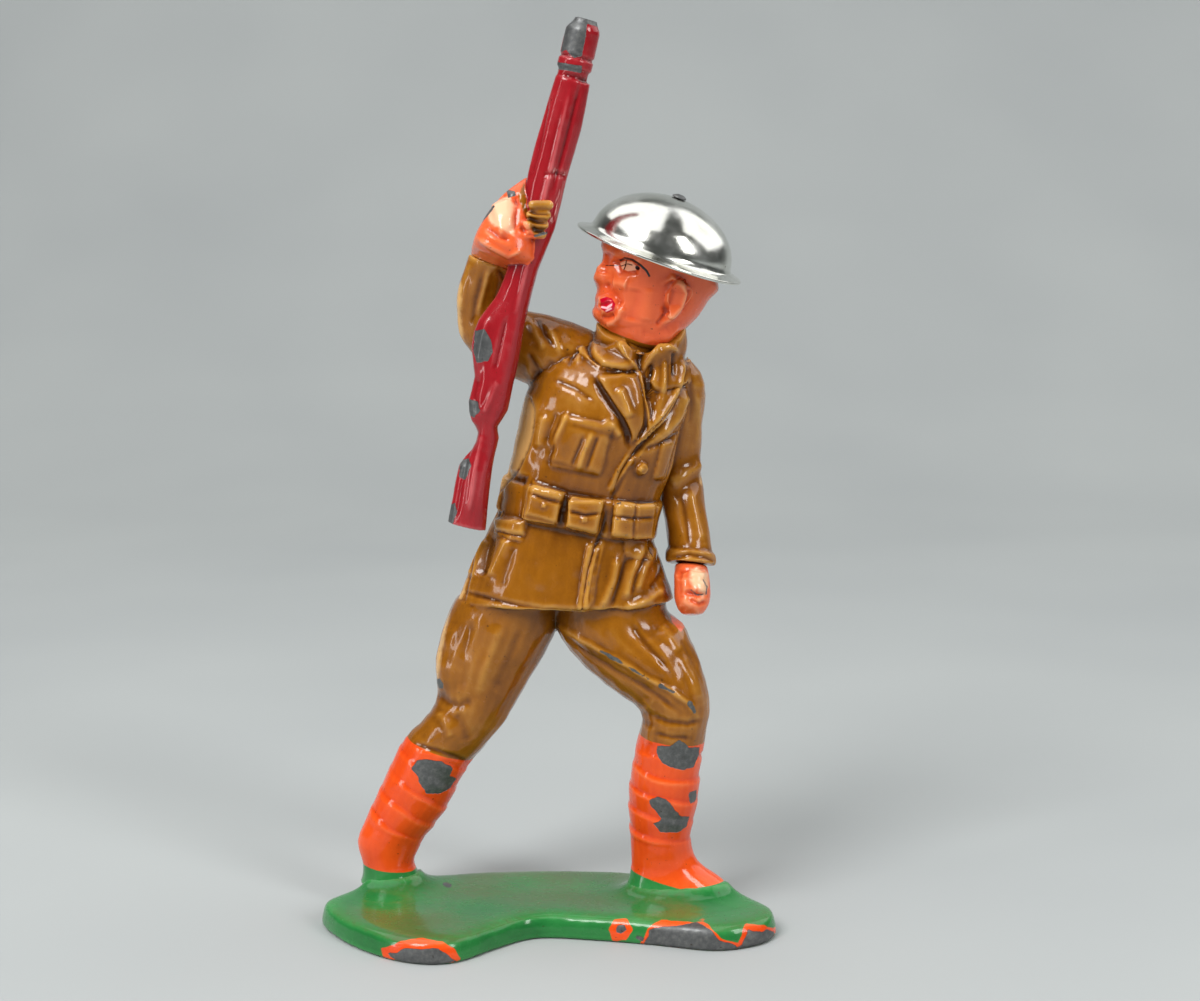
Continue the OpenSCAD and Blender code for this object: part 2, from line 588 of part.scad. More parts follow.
// Head, from the neck up to the crown; the helmet place is the middle of the edge of its brim
helmet_place = place([0.1495, 0.053, 0.912]);
helmet_axis = lean(head_tilt, head_nod);
face_way = let (side = [-cos(head_tilt), 0, sin(head_tilt)])
    side * cos(face_turn) + cross(helmet_axis, side) * sin(face_turn);
crown_h = helmet_h - tin_t - crown_gap;
head_front = head_l * 0.48;
head_back = head_l * 0.52;
head_rows = [
    row(place(coat_shares[9]), neck_w * 0.43, neck_w * 0.43, neck_w * 0.42, lean(neck_tilt)),
    row(place([0.127, 0.067, 0.797]), head_front * 0.56, head_back * 0.52, head_w * 0.3,
        lean(head_tilt * 0.5)),
    row(place([0.122, 0.062, 0.819]), head_front * 0.77, head_back * 0.7, head_w * 0.4,
        lean(head_tilt * 0.65)),
    row(place([0.13, 0.059, 0.85]), head_front * 0.78, head_back * 0.9, head_w * 0.45,
        lean(head_tilt * 0.8)),
    row(place([0.14, 0.056, 0.882]), head_front * 0.84, head_back * 0.98, head_w * 0.48,
        lean(head_tilt * 0.9)),
    row(helmet_place, head_front, head_back, head_w / 2, helmet_axis),
    row(helmet_place + helmet_axis * crown_h * 0.42, head_front * 0.9, head_back * 0.86, head_w * 0.46,
        helmet_axis),
    row(helmet_place + helmet_axis * crown_h * 0.76, head_front * 0.66, head_back * 0.62, head_w * 0.36,
        helmet_axis),
    row(helmet_place + helmet_axis * crown_h, head_front * 0.22, head_back * 0.2, head_w * 0.12,
        helmet_axis)];

// Shapes of the face: row, angle from the front, spread in rows, spread in degrees,
// reach as a share of the nose
face_shares = [
    [3.7, 0, 0.32, 13, 1], [4.5, 0, 0.3, 30, 0.3], [2.75, 0, 0.22, 22, 0.35], [2.05, 0, 0.3, 26, 0.45],
    [4.25, 28, 0.22, 14, -0.35], [4.25, -28, 0.22, 14, -0.35],
    [3.5, 48, 0.5, 22, 0.2], [3.5, -48, 0.5, 22, 0.2]];
function around(angle) = angle > 180 ? angle - 360 : angle;
function face_out(t, angle) = nose_l
    * [for (s = face_shares)
        exp(-pow((t - s[0]) / s[2], 2) - pow((around(angle) - s[1]) / s[3], 2)) * s[4]]
    * [for (s = face_shares) 1];
head_steps = 30;
head_rings = [for (k = [0 : head_steps]) let (t = (len(head_rows) - 1) * k / head_steps)
    [for (i = [0 : head_sides - 1]) let (angle = i * 360 / head_sides)
        rim(spline(head_rows, t), face_way, angle, face_out(t, angle))]];
module head() color(flesh) skin(head_rings);

// Ears: rows from the lobe up, with the front and back edge as shares of the ear's span of angles
ear_shares = [[2.7, 0.4, 0.62], [3.05, 0.22, 0.78], [3.55, 0.02, 0.98], [3.95, 0.06, 1], [4.2, 0.3, 0.76]];
module ear(angle_a, angle_b) {
    front = [for (s = ear_shares) [s[0], mix(angle_a, angle_b, s[1])]];
    back = [for (s = ear_shares) [s[0], mix(angle_a, angle_b, s[2])]];
    patch(grid(head_rows, face_way, front, back, 8, 4, seat_gap),
        grid(head_rows, face_way, front, back, 8, 4, seat_gap + ear_t));
}
ear_angles = [88, 112];
module left_ear() color(flesh) ear(ear_angles[0], ear_angles[1]);
module right_ear() color(flesh) ear(360 - ear_angles[1], 360 - ear_angles[0]);

module helmet_stud() color(lead)
    translate(helmet_place + helmet_axis * crown_h)
        aim(helmet_axis)
            rotate_extrude()
                stud_half();
module stud_half() {
    shank = crown_gap + tin_t + stud_clear;
    square([stud_d / 2, shank]);
    translate([0, shank])
        intersection() {
            scale(peen_h * 2 / peen_d)
                circle(d = peen_d * peen_d / (peen_h * 2));
            square([peen_d / 2, peen_h]);
        }
}

// Helmet: bowl and brim of pressed tin with a hole for the stud
bowl_r = head_back + helmet_gap;
bowl_steps = 14;
function bowl_line(out) = [for (k = [0 : bowl_steps]) let (
    top = asin((stud_d / 2 + stud_clear) / (bowl_r + out)), a = mix(top, 90, k / bowl_steps))
    [(bowl_r + out) * sin(a), brim_drop + (helmet_h - brim_drop - tin_t + out) * cos(a)]];
module helmet() color(tin)
    translate(helmet_place)
        aim(helmet_axis)
            rotate_extrude()
                polygon(concat(bowl_line(tin_t),
                    [[bowl_r + brim_w * 0.75, brim_drop * 0.55], [bowl_r + brim_w, brim_drop * 0.4],
                    [bowl_r + brim_w, brim_drop * 0.4 - tin_t], [bowl_r + brim_w * 0.75,
                    brim_drop * 0.55 - tin_t],
                    [bowl_r + tin_t, brim_drop - tin_t]],
                    [for (p = [bowl_steps : -1 : 0]) bowl_line(0)[p]]));

base();
right_boot();
right_puttee();
right_breeches();
left_boot();
left_puttee();
left_breeches();
tunic_skirt();
tunic_body();
belt();
belt_pouches();
right_breast_pocket();
left_breast_pocket();
right_hip_pocket();
left_hip_pocket();
upper_placket();
lower_placket();
tunic_button();
right_lapel();
left_lapel();
collar();
left_sleeve();
left_cuff();
left_hand();
right_upper_sleeve();
right_forearm_sleeve();
right_hand();
right_fingers();
rifle_stock();
rifle_barrel();
rifle_band();
rifle_muzzle();
head();
right_ear();
left_ear();
helmet_stud();
helmet();
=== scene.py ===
import json
import math

import bpy
import numpy as np
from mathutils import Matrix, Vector
from mathutils.bvhtree import BVHTree


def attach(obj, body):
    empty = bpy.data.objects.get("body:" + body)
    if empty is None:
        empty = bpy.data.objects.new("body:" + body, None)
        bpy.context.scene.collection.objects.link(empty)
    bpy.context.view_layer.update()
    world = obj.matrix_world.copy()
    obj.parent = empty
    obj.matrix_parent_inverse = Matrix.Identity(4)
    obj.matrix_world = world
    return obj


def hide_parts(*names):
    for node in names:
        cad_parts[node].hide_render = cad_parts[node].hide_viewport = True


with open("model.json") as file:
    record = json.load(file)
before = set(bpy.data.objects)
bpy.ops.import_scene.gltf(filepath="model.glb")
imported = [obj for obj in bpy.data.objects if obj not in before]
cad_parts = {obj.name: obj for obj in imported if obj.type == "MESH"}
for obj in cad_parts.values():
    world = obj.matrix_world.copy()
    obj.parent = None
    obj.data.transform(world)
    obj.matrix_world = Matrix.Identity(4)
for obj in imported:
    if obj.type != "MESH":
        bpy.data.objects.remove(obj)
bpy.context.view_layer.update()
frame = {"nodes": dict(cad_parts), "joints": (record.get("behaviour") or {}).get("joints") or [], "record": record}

NODES = frame["nodes"]
SLOTS = {s["node"]: s["material_slot"] for s in frame["record"]["subparts"]}
MM = 0.001
TINY = 1e-12

# The photograph's camera, in millimetres and in pixels of the 1200 x 1001 picture
WIDE, TALL = 1200, 1001
FOCAL, EYE, HORIZON = 2100.0, np.array([5.4, -209.5, 76.0]), 187.0
PITCH = math.atan((TALL / 2 - HORIZON) / FOCAL)
PIXELS_PER_MM = 9.7

# Value of a zone of paint where it has no part, in millimetres from its edge
UNSEEN = -3.0

# The CAD nodes by the paint they carry and by where they lie
BREECHES = ["right_breeches", "left_breeches"]
POCKETS = ["right_breast_pocket", "left_breast_pocket", "right_hip_pocket", "left_hip_pocket"]
TUNIC_RELIEFS = ["belt", "belt_pouches", *POCKETS, "upper_placket", "lower_placket", "tunic_button",
                 "right_lapel", "left_lapel", "collar"]
TUNIC = ["tunic_skirt", "tunic_body", *TUNIC_RELIEFS]
LEFT_ARM = ["left_sleeve", "left_cuff"]
RIGHT_ARM = ["right_upper_sleeve", "right_forearm_sleeve"]
KHAKI = BREECHES + TUNIC + LEFT_ARM + RIGHT_ARM
RELIEFS = [*TUNIC_RELIEFS, "left_cuff"]
ORANGE = ["right_boot", "right_puttee", "left_boot", "left_puttee"]
BOOTS = ["right_boot", "left_boot"]
REAR_LEG = ["right_breeches", "right_puttee", "right_boot"]
FRONT_LEG = ["left_breeches", "left_puttee", "left_boot"]
RIFLE = ["rifle_stock", "rifle_barrel", "rifle_band", "rifle_muzzle"]
RIGHT_HAND = ["right_hand", "right_fingers"]
HEAD = ["head", "right_ear", "left_ear"]


def to_pixels(co):
    """Pixels of the photograph in which points lie."""
    s, c = math.sin(PITCH), math.cos(PITCH)
    across, away, up = (co - EYE).T
    depth = away * c - up * s
    return np.stack([WIDE / 2 + FOCAL * across / depth, TALL / 2 - FOCAL * (away * s + up * c) / depth], 1)


def soup(names):
    """Points and triangles of CAD nodes, in millimetres, and the number of the node of each triangle."""
    points, faces, owner, count = [], [], [], 0
    for k, name in enumerate(names):
        mesh = NODES[name].data
        mesh.calc_loop_triangles()
        co = np.empty(len(mesh.vertices) * 3)
        mesh.vertices.foreach_get("co", co)
        tri = np.empty(len(mesh.loop_triangles) * 3, int)
        mesh.loop_triangles.foreach_get("vertices", tri)
        points.append(co.reshape(-1, 3) / MM)
        faces.append(tri.reshape(-1, 3) + count)
        owner.append(np.full(len(faces[-1]), k))
        count += len(points[-1])
    return np.vstack(points), np.vstack(faces), np.concatenate(owner)


def tree_of(names):
    co, tri, owner = soup(names)
    return BVHTree.FromPolygons(co.tolist(), tri.tolist()), owner


def boxed(points, path, room):
    """Which points lie in the box of a path, with room round it."""
    return (points > path.min(0) - room).all(1) & (points < path.max(0) + room).all(1)


def distance_to(names, co, reach=4.0):
    """Distance of points to CAD nodes, up to a reach."""
    tree = tree_of(names)[0]
    out = np.full(len(co), reach)
    for i in np.nonzero(boxed(co, soup(names)[0], reach))[0]:
        hit = tree.find_nearest(co[i], reach)
        if hit[3] is not None:
            out[i] = hit[3]
    return out


def smooth_step(x, low, high):
    t = np.clip((x - low) / (high - low), 0, 1)
    return t * t * (3 - 2 * t)


def waves(co, scale, seed, octaves=3, each=5, fade=1.6):
    """Smooth noise about zero, made of a few seeded waves."""
    rng = np.random.default_rng(seed)
    out = np.zeros(len(co))
    for o in range(octaves):
        for _ in range(each):
            way = rng.normal(size=3)
            way *= scale * 2 ** o / np.linalg.norm(way)
            out += np.sin(co @ way + rng.uniform(0, 6.3)) / (each * fade ** o)
    return out


def beside(p, path):
    """Distance to a path, the same with its side as sign, and the share of its length passed."""
    away = np.full(len(p), np.inf)
    side, along = np.zeros(len(p)), np.zeros(len(p))
    steps = np.linalg.norm(np.diff(path, axis=0), axis=1)
    passed = np.concatenate([[0], np.cumsum(steps)]) / steps.sum()
    for k in range(len(path) - 1):
        a, ab = path[k], path[k + 1] - path[k]
        t = np.clip(((p - a) @ ab) / (ab @ ab), 0, 1)
        off = p - a - t[:, None] * ab
        d = np.linalg.norm(off, axis=1)
        near = d < away
        away[near] = d[near]
        along[near] = passed[k] + t[near] * (passed[k + 1] - passed[k])
        if p.shape[1] == 2:
            side[near] = (np.sign(ab[0] * off[:, 1] - ab[1] * off[:, 0]) * d)[near]
    return away, side, along


def inside(p, shape):
    """Distance to the edge of a closed shape of pixels, positive inside it."""
    loop = np.vstack([shape, shape[:1]])
    away = beside(p, loop)[0]
    odd = np.zeros(len(p), bool)
    for (ax, ay), (bx, by) in zip(loop[:-1], loop[1:]):
        if ay != by:
            across = ax + (p[:, 1] - ay) * (bx - ax) / (by - ay)
            odd ^= ((p[:, 1] < ay) != (p[:, 1] < by)) & (p[:, 0] < across)
    return np.where(odd, away, -away)


def taper(along, slope, start):
    """Fades a stroke towards both its ends."""
    return np.clip(np.minimum(along, 1 - along) * slope + start, 0, 1)


def plane(co, point, way):
    """Distance of points past a plane."""
    way = np.array(way, float)
    return (co - np.array(point)) @ (way / np.linalg.norm(way))


def stroke(kind):
    """Maker of strokes over the photograph, from a width in pixels, a height in millimetres and pixels."""
    return lambda width, height, *points: (kind, width, height, np.array(points, float))


# A ridge or groove, a raised or sunk area, and a rise to one side of a path
line, pad, step = stroke("line"), stroke("pad"), stroke("step")


def area(*points):
    """An area of paint, as the height of pixels above its edge."""
    return lambda uv: inside(uv, np.array(points, float))


def trace(width, *points):
    """A thin line of paint, as the height of pixels above its edge."""
    return lambda uv: width - beside(uv, np.array(points, float))[0]


class Cast:
    """Skin of several CAD nodes cast in one, in millimetres."""

    # How near a seat lies, how far a point goes into it, and the share of smoothing that reliefs are spared
    SEAT, SINK, RELIEF_HELD = 0.13, 0.35, 0.35
    # Pulls of one round of smoothing, in and out again
    PULLS = 0.5, -0.52
    # Facing at the edge and in full view, and the least that counts as seen
    EDGE_ON, FULL_ON, SEEN = 0.02, 0.3, 0.02
    # Rounds, span in millimetres and weight of the two reaches of a hollow
    REACHES = (6, 0.05, 0.5), (60, 0.3, 0.6)

    def __init__(self, names, voxel, hosts=(), rounds=24, fill=None):
        self.names = names
        parts, faces, count = [], [], 0
        host_tree = tree_of(hosts)[0] if hosts else None
        for name in names:
            co, tri, _ = soup([name])
            if hosts and name not in hosts:
                co = self.sink(co, host_tree)
            if name == "belt_pouches":
                co = self.sink(co, tree_of(["belt"])[0])
            parts.append(co)
            faces.append(tri + count)
            count += len(co)
        if fill:
            parts.append(fill[0])
            faces.append(fill[1] + count)
        self.take(*self.remesh(np.vstack(parts), np.vstack(faces), voxel))
        self.label()
        self.taubin(rounds, 1 - self.RELIEF_HELD * self.blur(self.of(RELIEFS) * 1.0, 4))

    def sink(self, co, tree):
        """Points that seat on another form go a little way into it."""
        co = co.copy()
        for i in range(len(co)):
            hit = tree.find_nearest(co[i], self.SEAT)
            if hit[3] is not None:
                co[i] = np.array(hit[0]) - self.SINK * np.array(hit[1])
        return co

    @staticmethod
    def remesh(co, tri, voxel):
        """One skin of even quads round overlapping forms."""
        mesh = bpy.data.meshes.new("fused")
        mesh.from_pydata(co.tolist(), [], tri.tolist())
        ob = bpy.data.objects.new("fused", mesh)
        bpy.context.scene.collection.objects.link(ob)
        mod = ob.modifiers.new("fuse", "REMESH")
        mod.mode, mod.voxel_size, mod.adaptivity = "VOXEL", voxel, 0.0
        done = ob.evaluated_get(bpy.context.evaluated_depsgraph_get()).to_mesh()
        out = np.empty(len(done.vertices) * 3)
        done.vertices.foreach_get("co", out)
        quads = np.array([tuple(p.vertices) for p in done.polygons])
        bpy.data.objects.remove(ob)
        bpy.data.meshes.remove(mesh)
        return out.reshape(-1, 3), quads

    def take(self, co, quads):
        """Keeps the largest closed skin."""
        group = np.arange(len(co))
        a, b = quads.reshape(-1), np.roll(quads, -1, 1).reshape(-1)
        while True:
            low = np.minimum(group[a], group[b])
            new = group.copy()
            np.minimum.at(new, a, low)
            np.minimum.at(new, b, low)
            for _ in range(6):
                new = new[new]
            if (new == group).all():
                break
            group = new
        kept = group == np.bincount(group).argmax()
        number = np.cumsum(kept) - 1
        self.co = co[kept]
        self.quads = number[quads[kept[quads].all(1)]]
        pairs = np.sort(np.stack([self.quads, np.roll(self.quads, -1, 1)], 2).reshape(-1, 2), 1)
        self.edges = np.unique(pairs, axis=0)
        self.degree = np.bincount(self.edges.reshape(-1), minlength=len(self.co))

    def label(self):
        """The number of the nearest node for each point."""
        tree, owner = tree_of(self.names)
        self.labels = np.array([owner[tree.find_nearest(p)[2]] for p in self.co])

    def of(self, names):
        return np.isin(self.labels, [self.names.index(n) for n in names if n in self.names])

    def mean_near(self, x):
        a, b = self.edges.T
        n = len(self.co)
        if x.ndim == 1:
            return (np.bincount(a, x[b], n) + np.bincount(b, x[a], n)) / self.degree
        return np.stack([self.mean_near(c) for c in x.T], 1)

    def blur(self, x, rounds):
        for _ in range(rounds):
            x = 0.5 * x + 0.5 * self.mean_near(x)
        return x

    def taubin(self, rounds, weight):
        """Smooths the skin and keeps its volume."""
        for _ in range(rounds):
            for pull in self.PULLS:
                self.co = self.co + (pull * weight)[:, None] * (self.mean_near(self.co) - self.co)

    def settle(self, rounds):
        self.taubin(rounds, np.ones(len(self.co)))

    def melt(self, names, share, rounds, spread=6, where=1.0):
        """Softens the edges of nodes, as a casting from a worn mould has them."""
        soft = share * self.blur(self.of(names) * where, spread)
        self.co = self.co + soft[:, None] * (self.blur(self.co, rounds) - self.co)

    def normals(self):
        p = self.co[self.quads]
        n = np.cross(p[:, 2] - p[:, 0], p[:, 3] - p[:, 1])
        out = np.zeros_like(self.co)
        for k in range(3):
            for c in range(4):
                out[:, k] += np.bincount(self.quads[:, c], n[:, k], len(self.co))
        return out / np.maximum(np.linalg.norm(out, axis=1), TINY)[:, None]

    def swell(self, rise):
        """Moves each point out of the skin."""
        self.co = self.co + self.normals() * rise[:, None]

    def look(self):
        """Pixels of the points and how far each faces the photograph's camera."""
        way = EYE - self.co
        way /= np.linalg.norm(way, axis=1)[:, None]
        return to_pixels(self.co), smooth_step((self.normals() * way).sum(1), self.EDGE_ON, self.FULL_ON)

    def sculpt(self, strokes, where):
        """Raises nodes along strokes drawn over the photograph, on the side that it shows."""
        uv, facing = self.look()
        rise = np.zeros(len(self.co))
        mask = self.of(where) & (facing > 0)
        for kind, width, height, path in strokes:
            near = np.nonzero(mask & boxed(uv, path, 5 * width + 2))[0]
            if not len(near):
                continue
            if kind == "pad":
                rise[near] += height * smooth_step(inside(uv[near], path), -width, width) * facing[near]
                continue
            away, side, along = beside(uv[near], path)
            if kind == "step":
                fall = np.maximum(away - width, 0) / (3 * width)
                shape = smooth_step(side, -width, width) * np.exp(-fall ** 2)
            else:
                shape = np.exp(-(away / width) ** 2)
            rise[near] += height * shape * taper(along, 6, 0.25) * facing[near]
        self.swell(rise)

    def carve(self, strokes, where):
        """Raises nodes along strokes in space: width, height and points, all in millimetres."""
        rise = np.zeros(len(self.co))
        mask = self.of(where)
        for width, height, points in strokes:
            path = np.array(points, float)
            near = np.nonzero(mask & boxed(self.co, path, 4 * width))[0]
            if len(near):
                away, _, along = beside(self.co[near], path)
                rise[near] += height * np.exp(-(away / width) ** 2) * taper(along, 5, 0.2)
        self.swell(rise)

    def cavity(self):
        """How far each point stands out of its surroundings, from -1 to 1."""
        n = self.normals()
        out = np.zeros(len(self.co))
        for rounds, span, weight in self.REACHES:
            out += ((self.co - self.blur(self.co, rounds)) * n).sum(1) / span * weight
        return np.clip(out, -1, 1)

    def drawn(self, shapes, where):
        """Height in millimetres above the edge of shapes over the photograph, on the side that it shows."""
        uv, facing = self.look()
        out = np.full(len(self.co), UNSEEN)
        near = np.nonzero(self.of(where) & (facing > self.SEEN))[0]
        for shape in shapes:
            out[near] = np.maximum(out[near], shape(uv[near]) / PIXELS_PER_MM)
        return out


class Graph:
    """Nodes of a material, made and joined by short calls."""

    def __init__(self, name):
        self.mat = bpy.data.materials.new(name)
        self.mat.use_nodes = True
        self.nodes, self.links = self.mat.node_tree.nodes, self.mat.node_tree.links
        self.nodes.clear()
        self.bsdf = self.nodes.new("ShaderNodeBsdfPrincipled")
        out = self.nodes.new("ShaderNodeOutputMaterial")
        self.links.new(self.bsdf.outputs[0], out.inputs[0])

    def put(self, socket, value):
        if isinstance(value, bpy.types.NodeSocket):
            self.links.new(value, socket)
        else:
            socket.default_value = value

    def place(self, scale=(1, 1, 1)):
        coord = self.nodes.new("ShaderNodeTexCoord")
        node = self.nodes.new("ShaderNodeMapping")
        self.links.new(coord.outputs["Object"], node.inputs[0])
        node.inputs["Scale"].default_value = [s / MM for s in scale]
        return node.outputs[0]

    def noise(self, vector, scale, detail=3.0, rough=0.55):
        node = self.nodes.new("ShaderNodeTexNoise")
        self.links.new(vector, node.inputs["Vector"])
        for key, value in (("Scale", scale), ("Detail", detail), ("Roughness", rough)):
            node.inputs[key].default_value = value
        return node.outputs[0]

    def attr(self, name):
        node = self.nodes.new("ShaderNodeAttribute")
        node.attribute_name = name
        return node.outputs["Fac"]

    def math(self, op, a, b=0.0, clamp=False):
        node = self.nodes.new("ShaderNodeMath")
        node.operation, node.use_clamp = op, clamp
        self.put(node.inputs[0], a)
        self.put(node.inputs[1], b)
        return node.outputs[0]

    def add(self, a, b, clamp=False):
        return self.math("ADD", a, b, clamp)

    def times(self, a, b):
        return self.math("MULTIPLY", a, b)

    def range(self, value, low, high, to_low=0.0, to_high=1.0):
        node = self.nodes.new("ShaderNodeMapRange")
        node.interpolation_type = "SMOOTHSTEP"
        for socket, v in zip(node.inputs, (value, low, high, to_low, to_high)):
            self.put(socket, v)
        return node.outputs[0]

    def mix(self, factor, a, b):
        node = self.nodes.new("ShaderNodeMix")
        node.data_type = "RGBA"
        self.put(node.inputs["Factor"], factor)
        colours = [s for s in node.inputs if s.type == "RGBA"]
        self.put(colours[0], a)
        self.put(colours[1], b)
        return [s for s in node.outputs if s.type == "RGBA"][0]

    def ramp(self, factor, stops):
        node = self.nodes.new("ShaderNodeValToRGB")
        ends = node.color_ramp.elements
        while len(ends) < len(stops):
            ends.new(0.5)
        for end, (place, colour) in zip(ends, stops):
            end.position, end.color = place, colour
        self.links.new(factor, node.inputs[0])
        return node.outputs[0]

    def bump(self, height, distance, strength=1.0):
        node = self.nodes.new("ShaderNodeBump")
        node.inputs["Strength"].default_value = strength
        node.inputs["Distance"].default_value = distance * MM
        self.links.new(height, node.inputs["Height"])
        self.links.new(node.outputs[0], self.bsdf.inputs["Normal"])

    def set(self, **values):
        for key, value in values.items():
            self.put(self.bsdf.inputs[key.replace("_", " ")], value)


def srgb(*values):
    """Colour for a shader from the values of a picture."""
    shares = [v / 255 for v in values]
    return tuple(c / 12.92 if c <= 0.04045 else ((c + 0.055) / 1.055) ** 2.4 for c in shares) + (1.0,)


def shades(places, *colours):
    return [(place, srgb(*colour)) for place, colour in zip(places, colours)]


# Each paint from its darkest, painted as shade in its hollows, to its lightest on its raised edges, partly worn
# thin and partly a painted highlight
USUAL = 0.0, 0.35, 0.6, 1.0
TONES = {
    "khaki": shades((0.0, 0.3, 0.55, 1.0), (62, 29, 2), (110, 61, 6), (147, 89, 15), (194, 140, 62)),
    "orange": shades(USUAL, (160, 34, 4), (218, 64, 12), (236, 84, 24), (246, 128, 66)),
    "flesh": shades(USUAL, (172, 54, 20), (216, 84, 42), (230, 102, 54), (242, 152, 106)),
    "green": shades(USUAL, (12, 60, 22), (29, 106, 48), (45, 129, 62), (96, 160, 98)),
    "crimson": shades(USUAL, (84, 6, 12), (138, 18, 26), (156, 28, 36), (196, 96, 98)),
}
LEAD = shades((0.0, 0.5, 1.0), (60, 61, 62), (98, 99, 99), (138, 138, 134))


def enamel(name, base, zones=(), rough=0.19, streak=(0.5, 0.5, 0.2)):
    """Brush-painted enamel on cast lead, with painted shade and highlight from its relief, and zones of other
    paints and painted highlights bounded by attributes.
    """
    g = Graph(name)
    p = g.place()
    broad = g.noise(p, 0.16, 3)
    brush = g.noise(g.place(streak), 3.2, 4)
    fine = g.noise(p, 5.0, 3)
    edge = g.noise(p, 1.6, 4, 0.6)
    wave = g.times(g.math("SUBTRACT", edge, 0.5), 0.5)
    # Painted shade in the hollows and painted highlight on the ridges, from the relief of the surface
    tone = g.add(g.times(g.attr("relief_shading_and_wear"), 0.5), 0.1)
    tone = g.add(tone, g.times(broad, 0.5))
    tone = g.add(tone, g.times(brush, 0.14))
    tone = g.add(tone, g.times(fine, 0.1), True)
    colour = g.ramp(tone, TONES[base])
    for attribute, paint, soft in zones:
        mask = g.range(g.add(g.attr(attribute), g.times(wave, soft * 4)), -soft, soft)
        colour = g.mix(mask, colour, g.ramp(tone, TONES[paint]) if paint in TONES else paint)
    bare = g.range(g.add(g.attr("lead"), g.times(wave, 0.5)), -0.03, 0.03)
    wear = g.times(g.range(g.attr("relief_shading_and_wear"), 0.55, 0.95), g.range(g.noise(p, 0.9, 5, 0.7), 0.62, 0.66))
    bare = g.math("MAXIMUM", bare, wear)
    colour = g.mix(bare, colour, g.ramp(g.noise(p, 2.2, 5, 0.65), LEAD))
    speck = g.range(g.noise(p, 2.6, 2, 0.4), 0.73, 0.76)
    colour = g.mix(g.times(speck, 0.6), colour, srgb(52, 34, 16))
    g.set(Base_Color=colour, Metallic=g.times(bare, 0.55), Specular_IOR_Level=0.22)
    g.set(Coat_Roughness=0.08, Coat_Weight=g.range(bare, 0.0, 1.0, 0.4, 0.0))
    gloss = g.range(g.noise(p, 0.7, 4), 0.3, 0.75, rough - 0.07, rough + 0.1)
    g.set(Roughness=g.add(gloss, g.times(bare, 0.2)))
    height = g.add(g.times(g.math("SUBTRACT", 1.0, bare), 0.6), g.times(brush, 0.1))
    g.bump(g.add(height, g.times(fine, 0.07)), 0.12, 0.8)
    return g.mat


def bare_metal(name):
    g = Graph(name)
    p = g.place()
    g.set(Base_Color=g.ramp(g.noise(p, 1.8, 6, 0.65), LEAD), Metallic=0.6)
    g.set(Roughness=g.range(g.noise(p, 3.0, 4), 0.3, 0.7, 0.35, 0.58))
    g.bump(g.noise(p, 4.0, 5, 0.65), 0.04, 0.7)
    return g.mat


def bright_tin(name):
    g = Graph(name)
    p = g.place()
    smear = g.noise(p, 0.35, 5, 0.6)
    pits = g.range(g.noise(p, 2.0, 3, 0.6), 0.68, 0.76)
    colour = g.ramp(smear, shades((0.3, 0.6, 0.8), (206, 206, 196), (232, 232, 226), (240, 240, 238)))
    g.set(Base_Color=g.mix(pits, colour, srgb(120, 116, 104)), Metallic=1.0)
    g.set(Roughness=g.add(g.range(smear, 0.3, 0.75, 0.13, 0.26), g.times(pits, 0.2)))
    g.bump(g.add(g.noise(p, 0.25, 2), g.times(g.noise(p, 3.0, 3), 0.05)), 0.1, 0.5)
    return g.mat


def make_piece(name, co, faces, material, body, node, slot, normals=None, attributes=None):
    """A piece of the part from points in millimetres, in the place of a CAD node."""
    mesh = bpy.data.meshes.new(name)
    mesh.from_pydata((co * MM).tolist(), [], faces)
    mesh.polygons.foreach_set("use_smooth", [True] * len(faces))
    for key, values in (attributes or {}).items():
        mesh.attributes.new(key, "FLOAT", "POINT").data.foreach_set("value", np.asarray(values, np.float32))
    if normals is not None:
        mesh.normals_split_custom_set(normals.tolist())
    mesh.materials.append(material)
    ob = bpy.data.objects.new(name, mesh)
    bpy.context.scene.collection.objects.link(ob)
    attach(ob, body)
    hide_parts(node)


# How far the closing faces of a piece lie under its rim, in millimetres
CAP = 0.3


def rims(local, count):
    """Loops of points round the open edges of some quads."""
    a, b = local.reshape(-1), np.roll(local, -1, 1).reshape(-1)
    known = set((a * count + b).tolist())
    rim = {}
    for i, j in zip(a.tolist(), b.tolist()):
        if j * count + i not in known:
            rim.setdefault(i, []).append(j)
    while rim:
        loop, here = [], next(iter(rim))
        while here in rim:
            loop.append(here)
            there = rim[here].pop()
            if not rim[here]:
                del rim[here]
            here = there
        yield loop


def divide(cast, attributes, materials):
    """One closed piece for each CAD node of a casting, meeting its neighbours along a common edge."""
    n = cast.normals()
    owner = cast.labels[cast.quads[:, 0]]
    for k, name in enumerate(cast.names):
        quads = cast.quads[owner == k]
        if not len(quads):
            continue
        used, local = np.unique(quads, return_inverse=True)
        local = local.reshape(-1, 4)
        co, vn, count = cast.co[used], n[used], len(used)
        faces = local.tolist()
        loops = [vn[f] for f in faces]
        points, source = [co], [np.arange(count)]
        for loop in rims(local, count):
            inner = co[loop] - CAP * vn[loop]
            middle = inner.mean(0) - CAP * vn[loop].mean(0)
            points += [inner, middle[None]]
            source += [np.array(loop), np.array(loop[:1])]
            m = len(loop)
            for i in range(m):
                j = (i + 1) % m
                faces += [[loop[j], loop[i], count + i, count + j], [count + j, count + i, count + m]]
            count += m + 1
        co = np.vstack(points)
        for face in faces[len(local):]:
            p = co[face]
            way = np.cross(p[1] - p[0], p[2] - p[0])
            loops.append(np.tile(way / max(np.linalg.norm(way), TINY), (len(face), 1)))
        source = np.concatenate(source)
        slot = SLOTS[name]
        make_piece(name + "_cast", co, faces, materials[slot], "figure", name, slot, np.vstack(loops),
                   {key: values[used][source] for key, values in attributes.items()})


# The jaw over the collar: its middle, its half width and how far it hangs, in millimetres
JAW_X, JAW_WIDE, JAW_DEEP = 11.4, 2.6, 1.1
